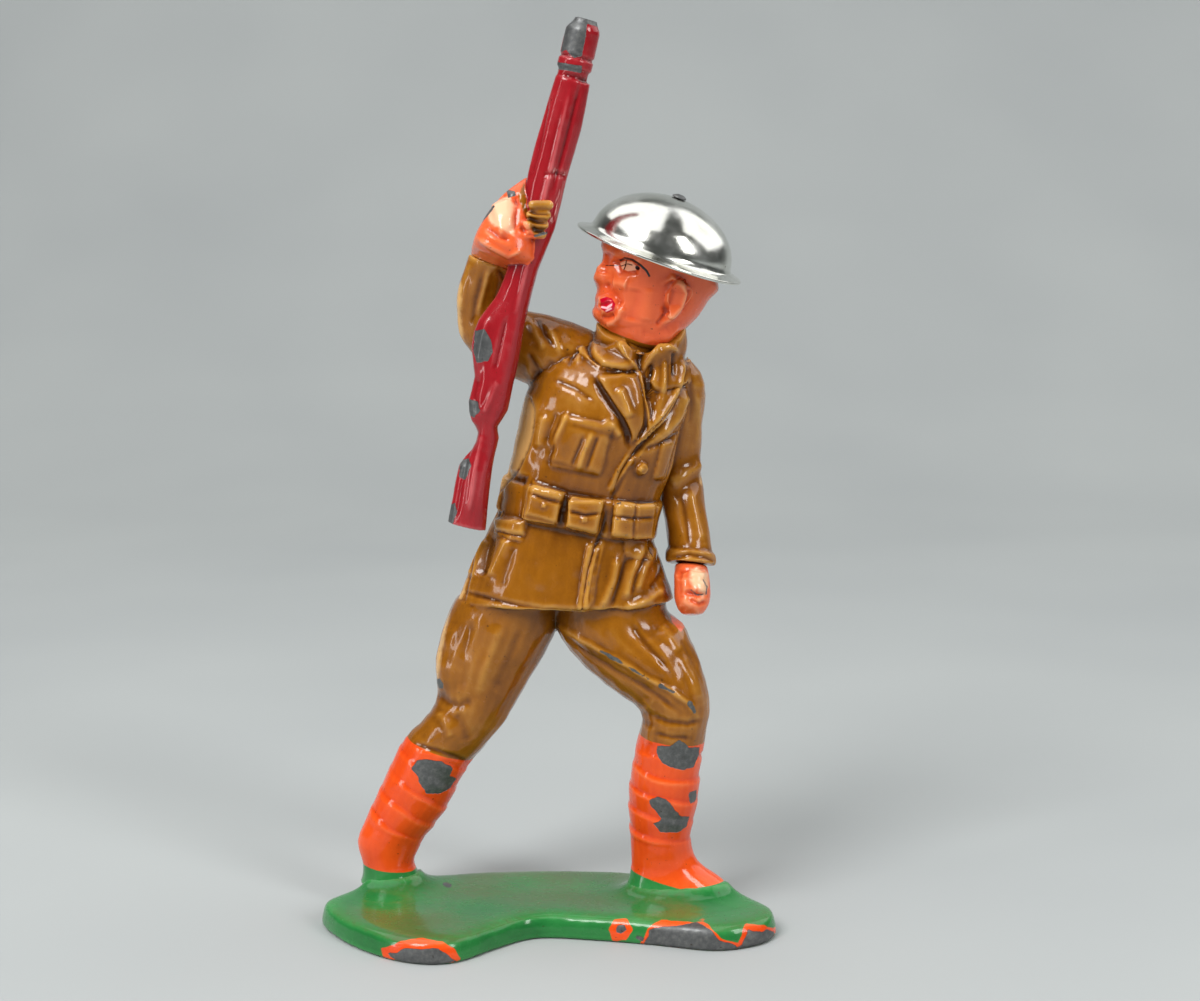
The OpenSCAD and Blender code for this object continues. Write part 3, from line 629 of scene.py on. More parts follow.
# Rings of the collar: middle, reach, height, slope towards the back and share of the jaw's dip
COLLAR_RINGS = (
    ((9.2, 5.2), (4.6, 4.2), 56.6, 0.0, 0),
    ((9.4, 4.9), (4.8, 4.5), 59.0, 0.15, 0),
    ((9.6, 4.6), (4.5, 4.5), 60.6, 0.36, 1))
COLLAR_TOP = 62.6


def jaw_dip(x, y):
    """How far the jaw hangs below the plane of the collar's top."""
    return JAW_DEEP * np.exp(-((x - JAW_X) / JAW_WIDE) ** 2) * smooth_step(y, 5.0, 2.5)


def neck_fill(sides=48):
    """The collar where it stands up round the jaw, as points and triangles."""
    turn = np.arange(sides) * 2 * math.pi / sides
    rings = []
    for middle, reach, low, slope, dip in COLLAR_RINGS:
        x, y = middle[0] + reach[0] * np.cos(turn), middle[1] + reach[1] * np.sin(turn)
        rings.append(np.stack([x, y, np.minimum(low + slope * y, COLLAR_TOP) - dip * jaw_dip(x, y)], 1))
    co = np.vstack(rings + [rings[0].mean(0)[None], rings[2].mean(0)[None]])
    tri = []
    for i in range(sides):
        k = (i + 1) % sides
        tri += [[k, i, 3 * sides], [2 * sides + i, 2 * sides + k, 3 * sides + 1]]
        for j in (0, sides):
            tri += [[j + i, j + k, j + sides + k], [j + i, j + sides + k, j + sides + i]]
    return co, np.array(tri)


# The tunic, the legs and the sleeves
body = Cast(KHAKI + ORANGE, 0.17, ["tunic_body", "tunic_skirt", "left_sleeve"], 30, neck_fill())
body.melt(["collar", "right_lapel", "left_lapel", "upper_placket"], 0.95, 26)
body.melt([*POCKETS, "belt"], 0.85, 20)
body.melt(["belt_pouches", "left_cuff", "lower_placket", "tunic_button"], 0.85, 15)
body.melt(BREECHES, 0.95, 70, where=smooth_step(body.co[:, 2], 30.5, 33.0))

body.sculpt([
    # Collar, its flaps and the open neck
    pad(3.5, 0.3, (592, 342), (606, 346), (622, 343), (636, 366), (622, 369), (602, 365), (593, 355)),
    line(2.4, -0.38, (587, 343), (589, 352), (593, 359), (602, 367), (612, 370), (624, 371), (632, 373)),
    line(2.4, 0.3, (619, 341), (627, 354), (637, 368)),
    pad(4.0, -0.85, (628, 340), (657, 343), (640, 368)),
    pad(4.0, -0.35, (498, 468), (527, 477), (522, 520), (490, 514)),
    line(2.6, 0.36, (650, 353), (659, 348), (670, 347), (678, 351)),
    line(2.4, -0.3, (674, 352), (674, 364), (674, 377)),
    line(2.6, 0.25, (664, 360), (664, 376), (663, 394)),
    line(4.0, -0.36, (652, 362), (648, 380), (650, 402)),
    # Lapels
    line(2.2, 0.34, (637, 368), (642, 386), (646, 405), (650, 428)),
    line(5.0, 0.36, (618, 388), (625, 402), (630, 418)),
    line(4.0, -0.32, (594, 378), (602, 392), (612, 406), (621, 419), (627, 433), (629, 446)),
    line(4.0, 0.26, (604, 420), (612, 425), (621, 436)),
    line(2.8, -0.44, (687, 355), (688, 370), (685, 384), (677, 400), (668, 414), (658, 427), (641, 447),
         (630, 459), (622, 472), (612, 498)),
    line(3.0, 0.32, (682, 357), (684, 372), (679, 390), (667, 412), (655, 426)),
    line(4.5, 0.25, (690, 392), (682, 412), (668, 430), (655, 442)),
    line(2.4, -0.2, (682, 430), (660, 443), (645, 450)),
    line(4.5, 0.22, (688, 395), (676, 418), (660, 434)),
    line(2.0, -0.2, (680, 437), (676, 450), (670, 465), (665, 478)),
    line(2.0, -0.16, (689, 450), (682, 462), (677, 474)),
    # Breast pocket and the folds about it
    line(3.4, -0.1, (568, 424), (584, 428), (606, 434), (616, 440)),
    line(2.6, 0.2, (568, 412), (560, 430), (552, 447)),
    line(2.4, -0.16, (583, 437), (576, 455), (571, 466)),
    line(2.6, 0.2, (592, 433), (584, 452), (578, 470)),
    line(2.2, -0.16, (598, 436), (591, 455), (586, 470)),
    line(3.4, -0.12, (545, 461), (560, 465), (580, 471), (600, 476)),
    line(4.0, 0.22, (545, 415), (541, 432), (539, 448)),
    line(3.0, -0.15, (556, 412), (550, 428), (546, 442)),
    # Shoulder folds on the chest
    line(3.0, 0.18, (583, 340), (580, 352), (577, 364)),
    line(2.6, -0.15, (577, 342), (573, 355), (568, 366)),
    line(3.4, 0.18, (570, 345), (566, 354), (562, 362)),
    line(4.0, 0.16, (545, 338), (552, 352), (556, 366)),
    line(3.0, -0.16, (556, 380), (575, 388), (592, 400)),
    # Front edge under the belt
    line(2.3, -0.32, (606, 512), (603, 530), (595, 547), (588, 570), (583, 600), (582, 614)),
    line(1.9, -0.16, (599, 550), (593, 575), (588, 606)),
    line(2.2, 0.14, (603, 542), (598, 560), (594, 580), (591, 606)),
    # Folds of the skirt
    line(5.5, 0.4, (482, 536), (475, 557), (470, 578)),
    line(5.0, 0.34, (508, 538), (499, 558), (490, 577)),
    line(4.0, -0.34, (493, 534), (487, 554), (481, 576)),
    line(5.0, -0.16, (515, 545), (508, 566), (503, 588)),
    line(4.5, 0.3, (617, 558), (613, 580), (602, 608)),
    line(5.0, 0.36, (643, 545), (631, 574), (625, 600)),
    line(4.5, 0.3, (657, 545), (644, 568), (637, 592)),
    line(3.0, -0.18, (627, 556), (620, 580), (612, 606)),
    line(2.6, -0.15, (649, 548), (637, 572), (631, 596)),
    line(4.5, 0.34, (664, 588), (648, 600), (624, 609)),
    line(3.0, -0.16, (666, 556), (660, 575), (650, 590)),
    line(2.4, -0.18, (458, 590), (480, 596), (500, 601), (520, 606), (545, 610), (590, 611), (620, 616),
         (645, 613), (664, 601)),
    # Hip pocket flap
    line(2.2, -0.22, (494, 530), (508, 534), (524, 537)),
    pad(2.2, 0.2, (494, 519), (524, 521), (523, 534), (497, 530)),
    # Pouches on the belt, each with its flap and stud
    pad(2.2, 0.22, (534, 481), (566, 492), (558, 524), (526, 514)),
    line(1.9, -0.2, (531, 493), (546, 499), (562, 503)),
    pad(2.2, 0.22, (568, 500), (603, 501), (595, 532), (567, 526)),
    line(1.9, -0.2, (569, 511), (585, 515), (600, 513)),
    pad(2.2, 0.2, (615, 504), (634, 505), (631, 537), (613, 534)),
    pad(2.2, 0.2, (637, 505), (655, 504), (652, 538), (634, 538)),
    line(1.9, -0.2, (614, 516), (632, 518), (653, 517)),
    pad(1.4, 0.16, (543, 503), (547, 504), (546, 508), (542, 507)),
    pad(1.4, 0.16, (582, 517), (586, 517), (586, 521), (582, 521)),
    pad(1.4, 0.14, (641, 466), (645, 469), (641, 473), (637, 469)),
], TUNIC)

body.sculpt([
    line(6.0, 0.32, (702, 463), (687, 473), (671, 484)),
    line(6.0, -0.2, (700, 480), (686, 488), (674, 500)),
    line(4.5, 0.2, (690, 490), (697, 515), (703, 542)),
    line(3.0, -0.14, (682, 495), (686, 520), (690, 545)),
    line(2.4, -0.2, (671, 558), (690, 554), (705, 557), (716, 562)),
    line(3.0, 0.14, (697, 395), (699, 420), (697, 445)),
    line(3.2, -0.16, (691, 380), (692, 400), (690, 425)),
], LEFT_ARM)

body.sculpt([
    line(4.0, 0.18, (530, 320), (538, 338), (545, 350)),
    line(3.0, -0.18, (537, 318), (546, 334), (553, 346)),
    line(3.6, 0.16, (548, 328), (556, 340), (560, 352)),
    line(3.4, -0.18, (528, 352), (540, 372), (550, 388)),
    line(3.0, 0.14, (527, 366), (533, 380), (538, 394)),
    line(3.4, 0.16, (470, 262), (464, 285), (461, 312)),
    line(3.4, -0.14, (482, 275), (476, 300), (472, 325)),
    line(2.6, -0.16, (497, 268), (505, 280), (515, 286)),
    line(2.8, 0.14, (489, 268), (484, 290), (478, 312)),
], RIGHT_ARM)

body.sculpt([
    line(3.2, 0.22, (560, 627), (600, 650), (630, 667), (650, 680), (670, 690), (690, 705), (696, 716)),
    line(3.0, -0.16, (566, 638), (600, 661), (630, 679), (655, 694), (680, 712)),
    line(4.5, 0.16, (660, 625), (670, 638), (680, 652)),
    line(5.0, 0.18, (682, 655), (692, 678), (700, 702)),
    line(3.4, -0.14, (632, 624), (650, 648), (668, 668)),
    pad(5.0, 0.16, (644, 702), (652, 702), (653, 710), (645, 710)),
    pad(4.0, 0.14, (645, 726), (654, 728), (653, 742), (645, 742)),
    line(3.0, -0.18, (652, 716), (668, 722), (688, 724), (700, 720)),
    line(2.6, -0.14, (656, 733), (672, 737), (690, 738)),
], FRONT_LEG)

body.sculpt([
    line(7.0, 0.2, (452, 622), (446, 655), (442, 688)),
    line(6.5, -0.18, (470, 620), (464, 655), (459, 692)),
    line(7.0, 0.18, (500, 625), (488, 660), (478, 698)),
    line(6.0, -0.16, (522, 628), (509, 660), (496, 692)),
    line(5.0, -0.2, (438, 690), (447, 702), (458, 706), (472, 700)),
    line(5.0, 0.16, (440, 711), (447, 725), (451, 738)),
    line(5.0, -0.14, (455, 713), (463, 728), (467, 742)),
    line(2.6, -0.18, (416, 744), (440, 752), (470, 763)),
], REAR_LEG)

# The line where the two halves of the mould met, and the plainer relief of the back
UPPER_SEAM = (486, 508), (498, 492), (517, 472), (528, 450), (533, 430), (535, 410), (530, 398), (519, 391)
LOWER_SEAM = (464, 600), (470, 575), (476, 545), (486, 512)
body.sculpt([
    line(1.5, -0.16, *UPPER_SEAM),
    line(1.5, -0.14, *LOWER_SEAM),
    step(2.0, 0.12, *UPPER_SEAM),
    step(2.0, 0.11, *LOWER_SEAM),
], TUNIC)
body.carve([
    (0.35, -0.25, [(2.6, 13.2, 40.6), (2.2, 14.2, 37.5), (2.0, 14.6, 33.8)]),
    (0.7, 0.22, [(-1.5, 13, 56), (1.5, 13.4, 50), (2.5, 13, 46)]),
    (0.6, -0.2, [(0, 13, 57), (3, 13.4, 51), (4, 13, 46)]),
    (0.7, 0.22, [(10, 12, 56), (7.5, 13, 50), (6, 13, 46)]),
    (0.6, -0.2, [(-3.5, 11.5, 40), (-4.5, 12.5, 37), (-5.5, 13, 34)]),
    (0.6, 0.2, [(7.5, 12, 40), (8.5, 12.5, 37), (9.5, 12.5, 34)]),
    (0.5, -0.18, [(-3, 11.8, 55), (2.5, 13.2, 57.3), (9, 12, 56)]),
], TUNIC)
body.carve([
    (0.5, -0.25, [(-10.5, 9, 21.8), (-8.4, 9.6, 21.4), (-6, 8.5, 21.8)]),
    (0.5, -0.22, [(-10, 9, 23.4), (-8, 9.8, 23), (-5.5, 9, 23.2)]),
    (0.7, 0.2, [(-8, 10, 32), (-8.5, 10.2, 28), (-9, 9.5, 25)]),
], ["right_breeches"])
body.carve([
    (0.5, -0.25, [(11, 6.6, 23), (13.5, 6.6, 22.4), (16, 5.4, 23)]),
    (0.5, -0.22, [(10.5, 7, 24.8), (13, 7.2, 24.2), (15.5, 6, 25)]),
    (0.7, 0.2, [(7, 9.6, 32), (9, 9.2, 29), (11, 8.4, 26.5)]),
], ["left_breeches"])
body.carve([
    (0.45, -0.22, [(11.5, 10.5, 48.2), (13.5, 11.3, 47.6), (15.6, 10.6, 48)]),
    (0.45, -0.2, [(11.5, 10.8, 46.8), (13.6, 11.4, 46.2), (15.6, 10.4, 46.6)]),
    (0.45, 0.16, [(11.5, 10.7, 47.5), (13.5, 11.4, 46.9), (15.6, 10.5, 47.3)]),
], LEFT_ARM)
body.carve([
    (0.5, -0.22, [(-4.5, 9.6, 61.5), (-5.4, 10, 60), (-5.2, 9, 58.8)]),
    (0.5, -0.2, [(-2.6, 9.6, 61.2), (-3.4, 10, 59.6), (-3.4, 8.8, 58)]),
], RIGHT_ARM)

# Shares of a puttee's turn that rise and fall, and depth of its lap in millimetres with its change
LAP_RISE, LAP_FALL, LAP_DEEP, LAP_CHANGE = 0.78, 0.22, 0.13, 0.09


def wrap(cast, node, foot, top, pitch):
    """Turns of a puttee wound round a calf, each lapping over the one below."""
    foot, top = np.array(foot), np.array(top)
    axis = (top - foot) / np.linalg.norm(top - foot)
    mask = cast.blur(cast.of([node]) * 1.0, 3)
    off = cast.co - foot
    up = off @ axis
    turn = np.arctan2(off[:, 1] - up * axis[1], off[:, 0] - up * axis[0]) / (2 * math.pi)
    t = up / pitch + turn + 0.16 * waves(cast.co, 0.45, 5)
    t -= np.floor(t)
    lap = np.where(t < LAP_RISE, t / LAP_RISE, (1 - t) / LAP_FALL) - 0.5
    depth = LAP_DEEP + LAP_CHANGE * waves(cast.co, 0.4, 6)
    cast.swell(depth * lap * mask)


wrap(body, "right_puttee", (-16.3, 6.7, 8.7), (-11.9, 6, 17), 2.5)
wrap(body, "left_puttee", (11.8, 4, 8.5), (12.5, 3, 18.1), 2.4)
relief = body.cavity()
body.swell(0.035 * waves(body.co, 1.1, 3))
cloth = body.blur(body.of(KHAKI) * 1.0, 3)
body.swell(cloth * (0.15 * waves(body.co, 0.8, 41) + 0.02 * waves(body.co, 2.0, 43)))
body.settle(5)

# The feet spread into the ground: top of the base, reach of the spread and its fall, in millimetres
BASE_TOP, SPREAD, SPREAD_FALL = 2.6, 0.55, 0.8
sole = body.blur(body.of(BOOTS) * 1.0, 2)
spread = sole * SPREAD * np.exp(-np.maximum(body.co[:, 2] - BASE_TOP, 0) / SPREAD_FALL)
body.co += body.normals() * [1, 1, 0] * spread[:, None]

# Where the paints of the body meet, in millimetres past each edge
rear_ankle = plane(body.co, (-17, 4.5, 4.5), (-0.13, 0, -1))
front_ankle = plane(body.co, (11.6, 0.5, 4.3), (-0.26, 0, -1))
rear_top = plane(body.co, (-11.6, 3, 17.7), (-0.35, 0, -1))
front_top = plane(body.co, (12.7, 0, 19.5), (-0.12, 0, -1))
on_rear, on_front = body.of(REAR_LEG), body.of(FRONT_LEG)
body_zones = {
    # Relief of the skin: painted shade in its hollows, painted highlight and wear on its ridges
    "relief_shading_and_wear": relief,
    "orange": np.where(on_rear, rear_top, np.where(on_front, front_top, UNSEEN)),
    "green": np.where(on_rear, rear_ankle, np.where(on_front, front_ankle, UNSEEN)),
    "flesh": np.maximum(
        body.drawn([
            area((668, 604), (687, 602), (688, 622), (681, 632), (672, 622)),
        ], FRONT_LEG + LEFT_ARM),
        np.where(body.of(LEFT_ARM), plane(body.co, (14.5, 2, 37.2), (-0.1, -0.2, -1)),
                 np.where(body.of(RIGHT_ARM), plane(body.co, (-5.6, 1.5, 68.7), (0.5, -0.15, 1)), UNSEEN))),
    # Pale tan: the far half of the casting seen past the mould line, and painted highlights along the edges of the
    # sleeves and the rear thigh
    "flash_and_highlight": body.blur(np.clip(np.maximum.reduce([
        body.drawn([
            area((514, 388), (530, 398), (535, 410), (533, 430), (528, 450), (517, 470), (488, 506),
                 (476, 545), (462, 600), (440, 600), (440, 500), (500, 440), (506, 400)),
        ], TUNIC),
        body.drawn([trace(3.4, (459, 284), (457, 315), (462, 352))], RIGHT_ARM),
        body.drawn([trace(3.6, (706, 372), (711, 400), (708, 440), (703, 482))], LEFT_ARM),
        body.drawn([trace(2.8, (447, 612), (439, 650), (434, 692))], REAR_LEG)]), -0.6, 0.6), 12),
    "lead": body.drawn([
        area((656, 745), (658, 756), (662, 762), (671, 768), (684, 770), (693, 767), (698, 754),
             (700, 747), (689, 747), (679, 740), (670, 747)),
        area((650, 801), (657, 797), (666, 799), (679, 815), (691, 816), (687, 827), (677, 833),
             (661, 832), (653, 824), (662, 819), (652, 808)),
        area((689, 792), (697, 790), (695, 801), (690, 806)),
        area((412, 769), (416, 760), (428, 759), (443, 762), (453, 768), (450, 776), (456, 779),
             (451, 787), (441, 793), (426, 794), (421, 788), (418, 776)),
        trace(0.9, (601, 651), (630, 668), (651, 681)),
        trace(1.6, (660, 686), (675, 693)),
        trace(2.2, (690, 704), (695, 712)),
        trace(2.0, (439, 681), (441, 686)),
    ], FRONT_LEG + REAR_LEG) + 0.15 * waves(body.co, 2.2, 55),
}

# The head: brow, eye, cheek, lips, chin and the ear
head = Cast(HEAD, 0.09, ["head"], 40)
head.melt(["left_ear", "right_ear"], 0.9, 40, 10)
head.melt(["head"], 0.9, 20)
# Nose, mouth and nape: middle and reach in pixels, way in millimetres
for middle, reach, way in (((599, 279), 8, -0.6), ((594, 307), 6, 0.2), ((712, 290), 8, 0.55)):
    near = np.exp(-((to_pixels(head.co) - middle) ** 2).sum(1) / reach ** 2)
    head.co[:, 0] += way * near
head.sculpt([
    pad(7.0, 0.55, (612, 334), (640, 333), (676, 328), (668, 343), (654, 349), (636, 346)),
    line(5.0, 0.22, (612, 254), (622, 253), (634, 255), (644, 262)),
    pad(4.0, -0.3, (613, 262), (624, 260), (638, 265), (636, 274), (620, 274)),
    pad(2.5, 0.16, (620, 262), (630, 262), (637, 267), (630, 271), (621, 269)),
    line(4.5, -0.3, (608, 252), (605, 264), (603, 275)),
    line(6.0, 0.3, (613, 283), (620, 283), (628, 285)),
    line(4.0, -0.25, (606, 282), (609, 290), (616, 296), (621, 306)),
    line(7.0, -0.2, (636, 288), (634, 304), (630, 322)),
    line(7.0, 0.14, (650, 288), (648, 306), (645, 322)),
    pad(3.0, 0.32, (600, 298), (607, 296), (614, 300), (616, 306), (611, 312), (603, 313), (599, 307)),
    line(1.8, -0.22, (600, 306), (606, 305), (612, 303)),
    line(3.0, -0.25, (601, 317), (608, 318), (615, 315)),
    line(4.0, 0.26, (606, 325), (613, 322), (619, 315), (622, 307)),
    line(3.0, 0.34, (664, 283), (672, 277), (681, 283), (685, 293), (681, 306), (672, 316), (661, 325)),
    line(4.5, -0.36, (668, 286), (674, 293), (671, 304), (663, 314)),
    line(2.4, -0.2, (656, 325), (662, 318), (668, 312)),
    line(2.4, -0.22, (690, 288), (689, 300), (682, 312)),
    line(4.0, -0.16, (640, 332), (655, 333), (670, 328)),
], HEAD)
head.swell(0.025 * waves(head.co, 1.3, 8))
head.settle(4)
# Khaki runs up the neck to just over the collar: height in front, slope towards the back and top
NECK_LOW, NECK_SLOPE, NECK_TOP = 60.8, 0.36, 62.8
neck = np.minimum(NECK_LOW + NECK_SLOPE * head.co[:, 1], NECK_TOP) - jaw_dip(*head.co.T[:2]) - head.co[:, 2]
brow = head.drawn([
    trace(1.15, (620.6, 260.2), (625, 258.2), (632.7, 260), (640.4, 265), (646.7, 271), (649.3, 276)),
    trace(0.55, (626.5, 260), (625.5, 266), (624, 269.5)),
    trace(0.5, (621, 266), (628, 264), (632, 265)),
    trace(1.9, (637, 267.4), (638, 268.4)),
    trace(0.45, (606, 265.5), (618, 265.5)),
], HEAD)
head_zones = {
    # Painted shade made half as deep again in the creases of the face, and painted highlight on its ridges
    "relief_shading_and_wear": np.clip(1.5 * head.cavity(), -1, 1),
    "khaki": neck,
    "eye": head.drawn([
        area((620, 263), (625, 261), (632, 262), (637, 267), (636, 270), (628, 271), (622, 269)),
    ], HEAD),
    "lips": head.drawn([
        area((600, 299), (606, 296.6), (612, 298.5), (615.5, 304), (614, 310), (607, 313), (601, 309)),
    ], HEAD),
    "shine": head.drawn([
        trace(1.1, (602, 307), (607, 308), (611, 305)),
        trace(0.8, (606, 311), (611, 308.5)),
    ], HEAD),
    "brow": brow,
    "lead": np.full(len(head.co), UNSEEN),
}

# The rifle and the hand round it
rifle = Cast(RIFLE + RIGHT_HAND, 0.13, ["rifle_stock"], 16)
rifle.melt(["right_hand"], 0.85, 26)
rifle.sculpt([
    line(2.6, 0.2, (570, 90), (553, 160), (531, 250), (516, 310)),
    line(2.4, -0.2, (580, 86), (566, 140), (553, 190)),
    line(2.6, -0.2, (548, 100), (538, 150), (531, 176)),
    line(2.6, -0.22, (563, 74), (577, 77), (588, 82)),
    line(2.4, -0.18, (545, 175), (556, 173), (567, 177)),
    line(2.6, -0.2, (506, 318), (500, 345), (494, 372)),
    line(3.0, 0.2, (488, 318), (482, 340), (478, 365)),
    line(3.4, 0.18, (498, 380), (490, 400), (483, 414)),
    line(3.0, -0.18, (478, 378), (474, 395), (476, 412)),
    line(3.0, 0.2, (484, 428), (476, 465), (468, 515)),
    line(2.6, -0.16, (470, 445), (462, 480), (456, 518)),
], RIFLE)
rifle.sculpt([
    pad(4.0, 0.3, (492, 205), (508, 200), (514, 225), (500, 236)),
    line(3.0, -0.3, (516, 192), (517, 212), (514, 230)),
    line(2.6, -0.25, (500, 196), (512, 198), (522, 205)),
    line(2.6, -0.25, (487, 228), (498, 236), (510, 240)),
    line(3.0, 0.25, (478, 238), (490, 246), (508, 256), (522, 250)),
    line(3.0, -0.2, (520, 226), (528, 234), (536, 238)),
    pad(2.6, 0.3, (523, 222), (530, 222), (533, 230), (527, 234)),
    line(1.8, -0.25, (528, 210), (538, 214), (550, 215)),
    line(1.8, -0.25, (527, 218), (538, 222), (550, 223)),
    line(1.8, -0.25, (530, 228), (538, 231), (549, 231)),
], RIGHT_HAND)
rifle.swell(0.03 * waves(rifle.co, 1.2, 12))
rifle.settle(4)

# The worn end of the muzzle, and how much of it is bare
RIFLE_LEAN, WORN_L, BARE_L = math.radians(13.5), 1.3, 0.5
along = np.array([math.sin(RIFLE_LEAN), 0, math.cos(RIFLE_LEAN)])
on_muzzle = rifle.of(["rifle_muzzle"])
muzzle = rifle.co[on_muzzle]
top_end = (muzzle @ along).max()
spoke = rifle.co - muzzle.mean(0)
spoke -= (spoke @ along)[:, None] * along
worn = on_muzzle * smooth_step(rifle.co @ along, top_end - WORN_L, top_end)
rifle.co -= spoke * (worn * (0.3 + 0.12 * waves(rifle.co, 1.0, 14)))[:, None]
rifle.settle(3)
to_rifle, to_hand = distance_to(RIFLE, rifle.co), distance_to(RIGHT_HAND, rifle.co)
rifle_zones = {
    # Relief of the rifle and hand: painted shade in hollows, painted highlight and wear on ridges
    "relief_shading_and_wear": rifle.cavity(),
    "flesh": to_rifle - to_hand,
    "khaki": rifle.drawn([
        area((524, 182), (534, 196), (548, 199), (556, 206), (552, 238), (536, 238), (527, 222),
             (522, 208), (518, 196)),
    ], RIGHT_HAND),
    # Pale cream on the back of the hand: worn paint and a painted highlight
    "cream_wear_and_highlight": rifle.drawn([
        area((490, 214), (496, 200), (508, 197), (513, 206), (514, 236), (505, 233), (494, 227)),
    ], RIGHT_HAND) + 0.3 * waves(rifle.co, 1.3, 53),
    "lead": np.maximum(
        np.where(on_muzzle, 0.0, UNSEEN) + (rifle.co @ along - top_end) + BARE_L,
        rifle.drawn([
            area((566, 17), (588, 18), (585, 40), (582, 56), (574, 58), (566, 50), (561, 52), (565, 30)),
            area((557, 62), (582, 66), (581, 73), (556, 69)),
            area((475, 331), (484, 329), (491, 340), (493, 352), (488, 361), (477, 363), (473, 350)),
            area((469, 399), (478, 402), (480, 411), (474, 418), (467, 414)),
            area((460, 461), (469, 458), (471, 466), (465, 480), (459, 477)),
            area((447, 506), (455, 503), (457, 512), (452, 526), (447, 523)),
            area((506, 190), (515, 191), (516, 196), (508, 198)),
            trace(1.0, (481, 222), (489, 213), (494, 206)),
            trace(1.3, (535, 236), (546, 233)),
        ], RIFLE + RIGHT_HAND)),
}

# The hanging fist
fist = Cast(["left_hand"], 0.12, (), 16)
fist.melt(["left_hand"], 0.9, 50)
fist.sculpt([
    line(2.2, -0.22, (686, 592), (695, 595), (706, 595)),
    line(2.0, -0.1, (690, 578), (699, 581), (706, 580)),
    pad(6.0, 0.35, (676, 574), (689, 571), (690, 604), (680, 608)),
    pad(5.0, 0.3, (684, 596), (700, 600), (698, 612), (686, 610)),
    pad(3.0, 0.25, (691, 570), (704, 572), (705, 592), (693, 592)),
    line(2.4, -0.25, (677, 573), (690, 570), (706, 571)),
    pad(3.0, 0.25, (680, 580), (690, 578), (694, 590), (684, 594)),
    line(1.8, -0.22, (690, 599), (699, 604), (706, 602)),
    line(2.6, -0.2, (681, 572), (683, 586), (684, 600)),
], ["left_hand"])
fist.settle(3)
fist_zones = {
    # Relief of the fist: painted shade in hollows, painted highlight and wear on ridges
    "relief_shading_and_wear": fist.cavity(),
    # Pale cream on the knuckles: worn paint and a painted highlight
    "cream_wear_and_highlight": fist.drawn([
        area((689, 568), (700, 566), (708, 574), (709, 588), (703, 596), (697, 588), (694, 591),
             (690, 580)),
    ], ["left_hand"]) + 0.25 * waves(fist.co, 1.3, 54),
    "lead": fist.drawn([
        trace(0.6, (691, 590), (697, 595), (703, 594)),
        trace(0.6, (703, 580), (707, 587), (706, 594)),
    ], ["left_hand"]),
}

# The base, with the paint and metal drawn up round the feet: its height, reach and end in millimetres
DRAWN_H, DRAWN_REACH, DRAWN_END = 1.25, 0.9, 3.9
ground = Cast(["base"], 0.28, (), 24)
ground.co = ground.blur(ground.co, 5)
ground.melt(["base"], 1.0, 36, 0, smooth_step(ground.co[:, 2], 0.4, 1.6))
boots = distance_to(BOOTS, ground.co)
top = smooth_step(ground.normals()[:, 2], 0.3, 0.9)
inward = smooth_step(np.abs(ground.co[:, 2] - BASE_TOP / 2), 1.2, 0.6)
drawn_up = DRAWN_H * np.exp(-(boots / DRAWN_REACH)) * (boots < DRAWN_END)
ground.co[:, 2] += top * (drawn_up + 0.07 * waves(ground.co, 0.35, 21) - 0.06)
rim_way = ground.normals() * [1, 1, 0]
ground.co -= rim_way * (inward * (0.12 + 0.1 * waves(ground.co, 0.6, 22)))[:, None]
ground.co[:, 2] = np.maximum(ground.co[:, 2], 0)
ground_zones = {
    # Painted shade: the sides of the base darker than its top, plus painted shade and highlight from its relief
    "relief_shading_and_wear": 0.5 * ground.cavity() - 0.3 * (1 - top),
    "dust": top * (0.5 + 0.6 * waves(ground.co, 0.22, 25)) - 0.55,
    "orange": ground.drawn([
        area((640, 946), (648, 929), (662, 922), (704, 920), (714, 929), (722, 938), (738, 943),
             (746, 925), (779, 928), (773, 948), (751, 954), (723, 957), (699, 954), (675, 953)),
        area((608, 929), (614, 920), (626, 920), (632, 929), (626, 939), (614, 939)),
        area((382, 949), (402, 941), (425, 938), (443, 941), (453, 949), (460, 959), (448, 967),
             (422, 969), (402, 966), (386, 957)),
    ], ["base"]) + 0.3 * waves(ground.co, 1.5, 51),
    "lead": ground.drawn([
        area((645, 944), (650, 932), (662, 926), (702, 924), (711, 932), (720, 941), (738, 947),
             (748, 929), (775, 932), (769, 944), (751, 950), (723, 953), (699, 950), (677, 949)),
        area((613, 929), (617, 924), (624, 924), (627, 930), (623, 935), (615, 935)),
        trace(1.6, (637, 937), (641, 939)),
        area((384, 950), (395, 952), (410, 948), (425, 949), (438, 947), (450, 955), (456, 961),
             (447, 966), (422, 968), (402, 964), (388, 957)),
        trace(1.0, (445, 884), (449, 886)),
    ], ["base"]) + 0.3 * waves(ground.co, 1.5, 52),
}

# Paints over the first coat, some of them partly painted highlights: the attribute that bounds each, its colour
# and the softness of its edge
khaki_over = [("flash_and_highlight", srgb(212, 163, 98), 0.2), ("orange", "orange", 0.05), ("flesh", "flesh", 0.05)]
orange_over = [("orange", "orange", 0.05), ("green", "green", 0.05)]
divide(body, body_zones, {
    "khaki_enamel": enamel("khaki_enamel", "khaki", khaki_over),
    "orange_enamel": enamel("orange_enamel", "khaki", orange_over)})
face_over = [("khaki", "khaki", 0.05), ("eye", srgb(242, 168, 132), 0.06), ("lips", srgb(196, 8, 40), 0.03),
             ("shine", srgb(250, 190, 196), 0.05), ("brow", srgb(22, 8, 6), 0.03)]
divide(head, head_zones, {"flesh_enamel": enamel("face_enamel", "flesh", face_over, 0.18)})
rifle_over = [("flesh", "flesh", 0.06), ("cream_wear_and_highlight", srgb(248, 186, 148), 0.2), ("khaki", "khaki", 0.15)]
